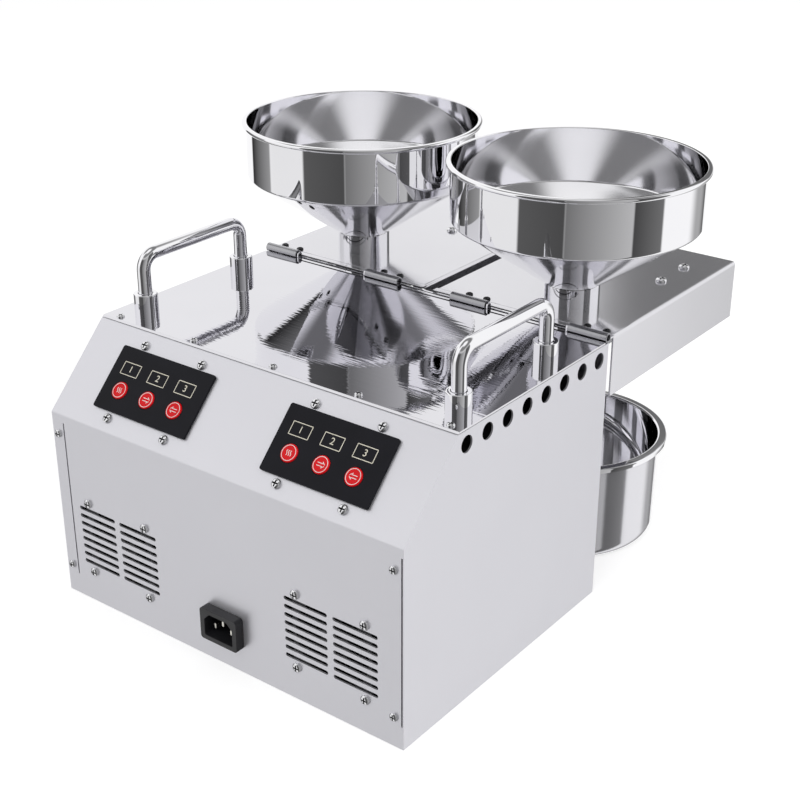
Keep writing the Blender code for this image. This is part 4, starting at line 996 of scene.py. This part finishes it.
HEATER_EDGE = 0.9 * MM
HEATER_RIM = 3 * MM
HEATER_SINK = 0.5 * MM
HEATER_STEP = 0.4 * MM
LUG_WIDTH = 8 * MM
LUG_CORNER = 1 * MM
LUG_EDGE = 0.4 * MM
LUG_SCREW_RISE = 3.2 * MM
LUG_SCREW = 2.4 * MM


def make_heater(side, sign):
    """The band heater: a sheathed ring with rolled edges, and its clamp lug below."""
    node = f"heater_band_{side}"
    x = sign * HEAD_X
    start, length = low(node).y, size(node).y
    outer = high(node).z - AXIS_Z
    inner = BARREL_RADIUS + SEAT
    end = [(inner, 0)] + arc((outer - HEATER_EDGE, HEATER_EDGE), HEATER_EDGE, -90, 0, 5)
    end += [(outer, HEATER_RIM), (outer - HEATER_SINK, HEATER_RIM + HEATER_STEP)]
    band = lathe(f"heater_{side}", with_mirror(end, length), DARK, along_y(x, start, AXIS_Z), BORE_ROUND)
    foot, top = low(node).z, AXIS_Z - inner
    outline = rounded_rectangle((x, (foot + top) / 2), LUG_WIDTH, top - foot - 2 * SEAT, LUG_CORNER)
    centre = start + length / 2
    span = (-centre - length / 4, -centre + length / 4)
    lug = add_solid(f"heater_lug_{side}", DARK, add_prism, outline, *span, in_front(0, 0, 0))
    finish_piece(soften(lug, LUG_EDGE), "case")
    finish_piece(band, "case", node)
    for sx in (-1, 1):
        at = shift(x + sx * LUG_WIDTH / 2, centre, foot + LUG_SCREW_RISE) @ turn(sx * pi / 2, "Y")
        add_screw(f"heater_screw_{side}_{sx + 2}", at, LUG_SCREW, "case")


NUT_FLATS_SHARE = 0.93
NUT_CHAMFER_OUT = 1 * MM
NUT_CHAMFER_LENGTH = 2.2 * MM
NUT_MOUTH = 12.4 * MM
NUT_THROAT = 8.2 * MM
NUT_FLARE = 1 * MM


def make_choke(side, sign):
    """The choke nut: a chamfered hexagon with a tapered bore."""
    node = f"choke_nut_{side}"
    x = sign * HEAD_X
    start, length = low(node).y, size(node).y
    radius = high(node).x - x
    place = along_y(x, start, AXIS_Z)
    nut = add_solid(f"choke_{side}", DARK, add_prism, circle((0, 0), radius, 6), 0, length, place)
    end = [(0, 0), (radius * NUT_FLATS_SHARE, 0), (radius + NUT_CHAMFER_OUT, NUT_CHAMFER_LENGTH)]
    combine(nut, filled(add_lathe, with_mirror(end, length), BORE_ROUND, place), "INTERSECT")
    flare = NUT_THROAT + NUT_FLARE
    taper = [
        (0, -OVERRUN), (NUT_MOUTH, -OVERRUN), (NUT_MOUTH, 0), (NUT_THROAT, length - NUT_FLARE),
        (flare, length), (flare, length + OVERRUN), (0, length + OVERRUN),
    ]
    cut(nut, filled(add_lathe, taper, BORE_ROUND, place))
    finish_piece(shade(nut, 25), "case", node)


# Press screws; the flight's foot and crest are half widths, and it is sunk a little into the root

FLIGHT_TURNS = 6
FLIGHT_STEPS = 48
FLIGHT_PITCH = 21 * MM
FLIGHT_START = 14 * MM
FLIGHT_RADIUS = 13 * MM
FLIGHT_FOOT = 2.5 * MM
FLIGHT_CREST = 1.3 * MM
FLIGHT_SINK = 0.4 * MM
ROOT_THIN = 7 * MM
ROOT_THICK = 11 * MM
ROOT_RUN_OUT = 11 * MM
SHANK_RADIUS = 6.5 * MM
SHANK_EDGE = 0.6 * MM
SHOULDER_RADIUS = 12.4 * MM
SHOULDER_START = 2 * MM
SHOULDER_END = 8 * MM
NOSE_RADIUS = 6.8 * MM
NOSE_LENGTH = 3 * MM


def make_press_screw(side, sign):
    """The screw: a root that thickens towards the outlet, with one flight wound round it."""
    node = f"press_screw_{side}"
    start = low(f"press_barrel_{side}").y
    shank, nose = low(node).y - start, high(node).y - start
    edge = SHANK_EDGE
    flight_end = FLIGHT_START + FLIGHT_PITCH * FLIGHT_TURNS
    root = [
        (0, shank), (SHANK_RADIUS - edge, shank), (SHANK_RADIUS, shank + edge),
        (SHANK_RADIUS, SHOULDER_START), (SHOULDER_RADIUS, SHOULDER_START), (SHOULDER_RADIUS, SHOULDER_END),
        (ROOT_THIN, SHOULDER_END), (ROOT_THIN, FLIGHT_START),
        (ROOT_THICK, flight_end), (ROOT_THICK, flight_end + ROOT_RUN_OUT),
        (NOSE_RADIUS, nose - NOSE_LENGTH), (NOSE_RADIUS, nose - edge),
        (NOSE_RADIUS - edge, nose), (0, nose),
    ]
    place = along_y(sign * HEAD_X, start, AXIS_Z)
    finish_piece(lathe(f"screw_core_{side}", root, CAST, place, ROUND), node, node)
    bm = bmesh.new()
    rings = []
    count = FLIGHT_STEPS * FLIGHT_TURNS
    for i in range(count + 1):
        at = place @ shift(0, 0, FLIGHT_START + FLIGHT_PITCH * i / FLIGHT_STEPS)
        at = at @ turn(2 * pi * i / FLIGHT_STEPS, "Z")
        foot = ROOT_THIN + (ROOT_THICK - ROOT_THIN) * i / count - FLIGHT_SINK
        section = (
            (foot, -FLIGHT_FOOT), (FLIGHT_RADIUS, -FLIGHT_CREST),
            (FLIGHT_RADIUS, FLIGHT_CREST), (foot, FLIGHT_FOOT),
        )
        rings.append([bm.verts.new(at @ Vector((radius, 0, along))) for radius, along in section])
    skin(bm, rings)
    finish_piece(add_object(f"screw_flight_{side}", bm, CAST, 40), node)


# Fans

FAN_SIZE = 62 * MM
FAN_CORNER = 4 * MM
FAN_WALL = 3 * MM
FAN_BORE = 28.5 * MM
FAN_HUB = 12 * MM
HUB_ROUND = 1 * MM
HUB_GAP = 3.5 * MM
FAN_PIN = 3 * MM
PIN_GAP = 0.5 * MM
FAN_HOLE = 1.8 * MM
FAN_HOLES_X = 27 * MM
FAN_HOLES_Z = 26.7 * MM
WINDOW_OUTER = 41
WINDOW_INNER = 36
BLADES = 7
BLADE_STEPS = 6
BLADE_TIP = 27 * MM
BLADE_INSET = 1.2 * MM
BLADE_DEPTH = 11 * MM
BLADE_THICKNESS = 1.1 * MM
BLADE_SWEEP = radians(38)
BLADE_SECTION = ((0, -1), (0.5, -1), (1, -1), (1, 1), (0.5, 1), (0, 1))


def make_fan(side, sign):
    """A moulded fan frame with corner holes, and a hub with swept blades."""
    node, rotor_node = f"fan_frame_{side}", f"fan_rotor_{side}"
    x = sign * FAN_X
    front, depth = low(node).y, size(node).y
    facing = in_front(x, front, FAN_Z)
    outline = rounded_rectangle((0, 0), FAN_SIZE, FAN_SIZE, FAN_CORNER)
    housing = add_solid(f"fan_housing_{side}", BLACK, add_prism, outline, -depth, 0, facing)
    wall = FAN_WALL - depth
    bore = filled(add_prism, circle((0, 0), FAN_BORE, BORE_ROUND), wall, OVERRUN, facing)
    windows = bmesh.new()
    outline = arc((0, 0), FAN_BORE, -WINDOW_OUTER, WINDOW_OUTER, 16)
    outline += arc((0, 0), FAN_HUB, WINDOW_INNER, -WINDOW_INNER, 8)
    for angle in (45, 135, 225, 315):
        at = facing @ turn(radians(angle), "Z")
        add_prism(windows, outline, -depth - OVERRUN, wall + OVERRUN, at)
    pin_hole = circle((0, 0), FAN_PIN + PIN_GAP, SMALL_ROUND)
    add_prism(windows, pin_hole, -depth - OVERRUN, wall + OVERRUN, facing)
    holes = bmesh.new()
    for centre in product((-FAN_HOLES_X, FAN_HOLES_X), (-FAN_HOLES_Z, FAN_HOLES_Z)):
        add_prism(holes, circle(centre, FAN_HOLE, 24), -depth - OVERRUN, OVERRUN, facing)
    cut(housing, bore, windows, holes)
    finish_piece(shade(housing, 30), "case", node)
    hub_front, hub_back = low(rotor_node).y - front, depth - HUB_GAP
    profile = [(0, hub_front)] + arc((FAN_HUB - HUB_ROUND, hub_front + HUB_ROUND), HUB_ROUND, -90, 0, 5)
    profile += [(FAN_HUB, hub_back), (FAN_PIN, hub_back), (FAN_PIN, depth), (0, depth)]
    place = along_y(x, front, FAN_Z)
    rotor = filled(add_lathe, profile, ROUND, place)
    for i in range(BLADES):
        add_blade(rotor, 2 * pi * i / BLADES, hub_front + BLADE_INSET, place)
    finish_piece(add_object(f"fan_wheel_{side}", rotor, BLACK, 40), rotor_node, rotor_node)


def add_blade(bm, angle, near, place):
    """A thin blade that twists from front to back and leans outwards."""
    base = FAN_HUB - HUB_ROUND
    rows = []
    for i in range(BLADE_STEPS + 1):
        radius = base + (BLADE_TIP - base) * i / BLADE_STEPS
        row = []
        for share, side in BLADE_SECTION:
            at = angle + (BLADE_SWEEP * share * FAN_HUB + side * BLADE_THICKNESS / 2) / radius
            point = Vector((radius * cos(at), radius * sin(at), near + BLADE_DEPTH * share))
            row.append(bm.verts.new(place @ point))
        rows.append(row)
    skin(bm, rows)


# Screw heads, in shares: the head's height of its radius, its profile of radius and height, the
# recess's reach and half width of the radius, its floor of the height, and the top (of the height)
# and limit (of the reach) of the painted shade: the recess's faces take the dark steel as painted shade

HEAD_HEIGHT = 0.6
HEAD_PROFILE = ((0, 0), (1, 0), (1, 0.25), (0.97, 0.5), (0.86, 0.76), (0.66, 0.92), (0, 1))
RECESS_REACH = 0.66
RECESS_HALF = 0.15
RECESS_FLOOR = 0.2
PAINTED_SHADE_TOP = 0.9
PAINTED_SHADE_REACH = 1.01


def add_screw(name, matrix, radius, body, material=SCREW):
    """A cross-recessed pan head whose underside lies on the matrix's XY plane, with painted shade in dark
    steel in its recess.
    """
    height = radius * HEAD_HEIGHT
    profile = [(radius * across, height * up) for across, up in HEAD_PROFILE]
    head = add_object(name.replace("-", "m"), filled(add_lathe, profile, 40, matrix), material, 45)
    arm, half = radius * RECESS_REACH, radius * RECESS_HALF
    cross = [
        (arm, half), (half, half), (half, arm), (-half, arm), (-half, half), (-arm, half),
        (-arm, -half), (-half, -half), (-half, -arm), (half, -arm), (half, -half), (arm, -half),
    ]
    cut(head, filled(add_prism, cross, height * RECESS_FLOOR, height * 2, matrix))
    # Painted shade: the faces inside the cross recess take the dark steel, as if they lay in shadow
    shade(head, 40).data.materials.append(DARK)
    inverse = matrix.inverted()
    for face in head.data.polygons:
        place = inverse @ face.center
        if place.z < height * PAINTED_SHADE_TOP and place.xy.length < arm * PAINTED_SHADE_REACH:
            face.material_index = 1
    finish_piece(head, body)


# Fasteners: head radii and places

FAN_SCREW = 3.4 * MM
FAN_SCREWS_X = {"left": (-119.7 * MM, -65.4 * MM), "right": (65.1 * MM, 119.3 * MM)}
FAN_SCREWS_Z = (24.3 * MM, 77.8 * MM)
EDGE_SCREW = 3 * MM
EDGE_SCREWS = ((-142.9, 22.1), (-142.9, 124), (140.8, 21.6), (140.8, 123.6))
TOP_SCREW = 2.7 * MM
TOP_SCREWS_X = (-135.1, -66.3, 2.7, 71.3, 139)
TOP_SCREWS_Y = -54 * MM
PANEL_SCREW = 3.4 * MM
PANEL_SCREWS_X = (25.75 * MM, -25.75 * MM)
PANEL_SCREWS_RISE = (8.9 * MM, 62.9 * MM)
COVER_SCREW = 4 * MM
COVER_SCREWS_X = 32 * MM
COVER_SCREWS_Y = (225.4 * MM, 260.2 * MM)
KNUCKLE_SCREW = 2.6 * MM
KNUCKLE_SCREWS_Y = 120 * MM
KNUCKLE_SCREWS_PITCH = 14.7 * MM
BACK_SCREW = 3 * MM
BACK_INSET_X = 14 * MM
BACK_INSET_Z = 12 * MM

# The flange's bolts by number, in degrees; the feed boss leaves no room for one at the top
BOLT = 2 * MM
BOLT_CIRCLE = 22 * MM
BOLT_ANGLES = {0: 30, 2: 150, 3: 210, 4: 270, 5: 330}


def make_fasteners():
    """Every screw that shows, each with its head on the sheet that it holds."""
    for side, sign in SIDES:
        for x, z in product(FAN_SCREWS_X[side], FAN_SCREWS_Z):
            add_screw(f"fan_screw_{side}_{x:.3f}_{z:.3f}", in_front(x, FRONT_Y, z), FAN_SCREW, "case")
        panel_x, _ = slope_place(f"control_panel_{side}")
        for dx, rise in product(PANEL_SCREWS_X, PANEL_SCREWS_RISE):
            name = f"slope_screw_{side}_{int(dx * 1e4)}_{int(rise * 1e4)}"
            add_screw(name, ON_SLOPE @ shift(panel_x + dx, rise, 0), PANEL_SCREW, "case")
        for dx, (i, y) in product((-COVER_SCREWS_X, COVER_SCREWS_X), enumerate(COVER_SCREWS_Y)):
            name = f"cover_screw_{side}_{int(dx * 1e3)}_{i}"
            add_screw(name, shift(sign * HEAD_X + dx, y, COVER_TOP), COVER_SCREW, f"cover_{side}")
        for place in ("outer", "inner"):
            centre = middle(f"hinge_knuckle_{side}_{place}").x
            for i, dx in enumerate((-KNUCKLE_SCREWS_PITCH / 2, KNUCKLE_SCREWS_PITCH / 2)):
                at = shift(centre + dx, KNUCKLE_SCREWS_Y, COVER_TOP)
                add_screw(f"hinge_screw_{side}_{place}_{i}", at, KNUCKLE_SCREW, f"cover_{side}", DARK)
    for i, (x, z) in enumerate(EDGE_SCREWS):
        add_screw(f"edge_screw_{i}", in_front(x * MM, FRONT_Y, z * MM), EDGE_SCREW, "case")
    for i, x in enumerate(TOP_SCREWS_X):
        add_screw(f"top_screw_{i}", shift(x * MM, TOP_SCREWS_Y, CASE_TOP), TOP_SCREW, "case")
    for i, (j, z) in product(range(3), enumerate((BACK_INSET_Z, CASE_TOP - BACK_INSET_Z))):
        at = along_y((i - 1) * (HALF_WIDTH - BACK_INSET_X), BACK_Y, z)
        add_screw(f"back_screw_{i}_{j}", at, BACK_SCREW, "case")
    for side, sign in SIDES:
        flange = along_y(sign * HEAD_X, low(f"press_barrel_{side}").y + FLANGE_THICKNESS, AXIS_Z)
        for i, angle in BOLT_ANGLES.items():
            at = flange @ shift(BOLT_CIRCLE * cos(radians(angle)), -BOLT_CIRCLE * sin(radians(angle)), 0)
            add_screw(f"flange_bolt_{side}_{i}", at, BOLT, "case", DARK)


# What stays as the frame has it, inside the case

def finish_inner_nodes():
    """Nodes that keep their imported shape: only their finish changes."""
    finishes = {"control_board": BOARD}
    for side, _ in SIDES:
        finishes[f"key_board_{side}"] = BOARD
        finishes[f"gearbox_{side}"] = CAST
        finishes[f"motor_{side}"] = DARK
    for node, material in finishes.items():
        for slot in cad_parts[node].material_slots:
            slot.material = material


# Studio

CAMERA_PLACE = (0.57383, -0.67031, 0.56271)
CAMERA_AZIMUTH = radians(37.4086)
CAMERA_ELEVATION = radians(25.1906)
CAMERA_LENS = 65.95
CAMERA_NEAR = 0.01

FLOOR_RADIUS = 6
FLOOR_Z = -0.2 * MM
FLOOR_TONE = (0.62, 0.62, 0.62, 1)
FLOOR_GLOW = 0.58
WHITE = (1, 1, 1, 1)

# Name, place and power of each lamp
LAMPS = (("key", (0.3, -1.6, 2.2), 14), ("fill", (1.8, 0.2, 1.4), 15))
LAMP_TARGET = (0, 0.1, 0.1)
LAMP_SIZE = 1.6

# The tent's level as metal mirrors it, and as it lights the object
TENT_LEVEL = 1.0
TENT_LIGHT = 0.62

# Dark flags in the tent: azimuth, half width and softness, lowest and highest elevation and their
# softness, all in degrees, and the level at the side of the smaller and of the larger azimuth
FLAGS = (
    (-127, 34, 14, -80, 2, 10, 0.84, 0.84),
    (-172.6, 18, 1.5, -90, 16, 8, 0.01, 0.32),
    (-90, 21.5, 1.5, -90, 45, 10, 0.10, 0.07),
    (-38.5, 30.5, 1.5, -90, 45, 10, 0.17, 0.50),
    (7.5, 15.5, 1.5, -90, 45, 10, 0.06, 0.17),
    (84, 11, 1.5, -90, -5, 6, 0.07, 0.10),
    (77, 11, 8, -60, 2, 8, 0.42, 0.40),
    (100, 19.5, 2, 8, 32, 7, 0.15, 0.15),
    (50, 163, 8, 48, 74, 6, 0.22, 0.22),
)


def make_camera():
    data = bpy.data.cameras.new("view")
    data.lens = CAMERA_LENS
    data.clip_start = CAMERA_NEAR
    camera = place_object("view", data)
    azimuth, elevation = CAMERA_AZIMUTH, CAMERA_ELEVATION
    right = Vector((cos(azimuth), sin(azimuth), 0))
    back = Vector((sin(azimuth) * cos(elevation), -cos(azimuth) * cos(elevation), sin(elevation)))
    facing = Matrix((right, back.cross(right), back)).transposed()
    camera.matrix_world = shift(*CAMERA_PLACE) @ facing.to_4x4()
    bpy.context.scene.camera = camera


def soft_step(tree, source, start, end):
    """0 where the source is at start, 1 at end, and smooth between; start and end in degrees."""
    inputs = {"Value": source, "From Min": radians(start), "From Max": radians(end)}
    return add_node(tree, "ShaderNodeMapRange", inputs, interpolation_type="SMOOTHSTEP").outputs["Result"]


def calculate(tree, operation, *sources):
    return add_node(tree, "ShaderNodeMath", dict(enumerate(sources)), operation=operation).outputs["Value"]


def split(tree, vector):
    return add_node(tree, "ShaderNodeSeparateXYZ", {"Vector": vector}).outputs


def blend_level(tree, factor, first, second):
    """first where the factor is 0, second where it is 1."""
    return add_node(tree, "ShaderNodeMix", {"Factor": factor, "A": first, "B": second}).outputs["Result"]


def add_flag(world, direction, elevation, level, flag):
    """The tent's level with one dark flag in it."""
    azimuth, half_width, softness, lowest, highest, fade, first, last = flag
    inputs = {"Vector": direction, "Angle": -radians(azimuth)}
    turned = add_node(world, "ShaderNodeVectorRotate", inputs, rotation_type="Z_AXIS").outputs["Vector"]
    parts = split(world, turned)
    bearing = calculate(world, "ARCTAN2", parts["Y"], parts["X"])
    across = add_node(world, "ShaderNodeMapRange", {
        "Value": bearing, "From Min": -radians(half_width), "From Max": radians(half_width),
        "To Min": first, "To Max": last,
    }).outputs["Result"]
    away = calculate(world, "ABSOLUTE", bearing)
    width = soft_step(world, away, half_width + softness, half_width - softness)
    bottom = soft_step(world, elevation, lowest - fade, lowest + fade)
    top = soft_step(world, elevation, highest + fade, highest - fade)
    window = calculate(world, "MULTIPLY", width, calculate(world, "MULTIPLY", bottom, top))
    return blend_level(world, window, level, across)


def make_world():
    """A white tent with dark flags that only reflections see, and a plain even light on the object."""
    world = bpy.data.worlds.new("studio")
    bpy.context.scene.world = world
    world.use_nodes = True
    world.node_tree.nodes.clear()
    direction = add_node(world, "ShaderNodeTexCoord").outputs["Generated"]
    elevation = calculate(world, "ARCSINE", split(world, direction)["Z"])
    tent = TENT_LEVEL
    for flag in FLAGS:
        tent = add_flag(world, direction, elevation, tent, flag)
    paths = add_node(world, "ShaderNodeLightPath").outputs
    level = blend_level(world, paths["Is Glossy Ray"], TENT_LIGHT, tent)
    direct = calculate(world, "MAXIMUM", paths["Is Camera Ray"], paths["Is Transmission Ray"])
    light = {"Color": WHITE, "Strength": blend_level(world, direct, level, 1)}
    background = add_node(world, "ShaderNodeBackground", light).outputs["Background"]
    add_node(world, "ShaderNodeOutputWorld", {"Surface": background})


def make_floor():
    """A white floor that takes the object's shadow. Seen directly it shows near white by itself."""
    material = new_tree("floor")
    seen = add_node(material, "ShaderNodeLightPath").outputs["Is Camera Ray"]
    add_shader(material, {
        "Base Color": FLOOR_TONE, "Roughness": 0.9, "Specular IOR Level": 0, "Emission Color": WHITE,
        "Emission Strength": calculate(material, "MULTIPLY", seen, FLOOR_GLOW),
    })
    bm = bmesh.new()
    bmesh.ops.create_circle(bm, cap_ends=True, segments=ROUND, radius=FLOOR_RADIUS)
    floor = add_object("floor", bm, material)
    floor.location.z = FLOOR_Z
    floor.visible_glossy = False


def add_lamp(name, place, power):
    data = bpy.data.lights.new(name, "AREA")
    data.shape = "DISK"
    data.size = LAMP_SIZE
    data.energy = power
    lamp = place_object(name, data)
    lamp.location = place
    lamp.rotation_euler = (Vector(LAMP_TARGET) - Vector(place)).to_track_quat("-Z", "Y").to_euler()
    lamp.visible_glossy = False


def make_studio():
    make_camera()
    make_world()
    make_floor()
    for lamp in LAMPS:
        add_lamp(*lamp)


def main():
    make_shell()
    make_flat_sheets()
    make_inlet()
    make_hinge()
    for side, sign in SIDES:
        make_panel(side)
        for number in KEYS:
            make_button(side, number)
        make_labels(side)
        make_handle(side)
        make_cover(side, sign)
        make_hopper(side, sign)
        make_pot(side)
        make_barrel(side, sign)
        make_heater(side, sign)
        make_choke(side, sign)
        make_press_screw(side, sign)
        make_fan(side, sign)
    make_fasteners()
    finish_inner_nodes()
    make_studio()
    bpy.context.scene.view_settings.view_transform = "Standard"


main()
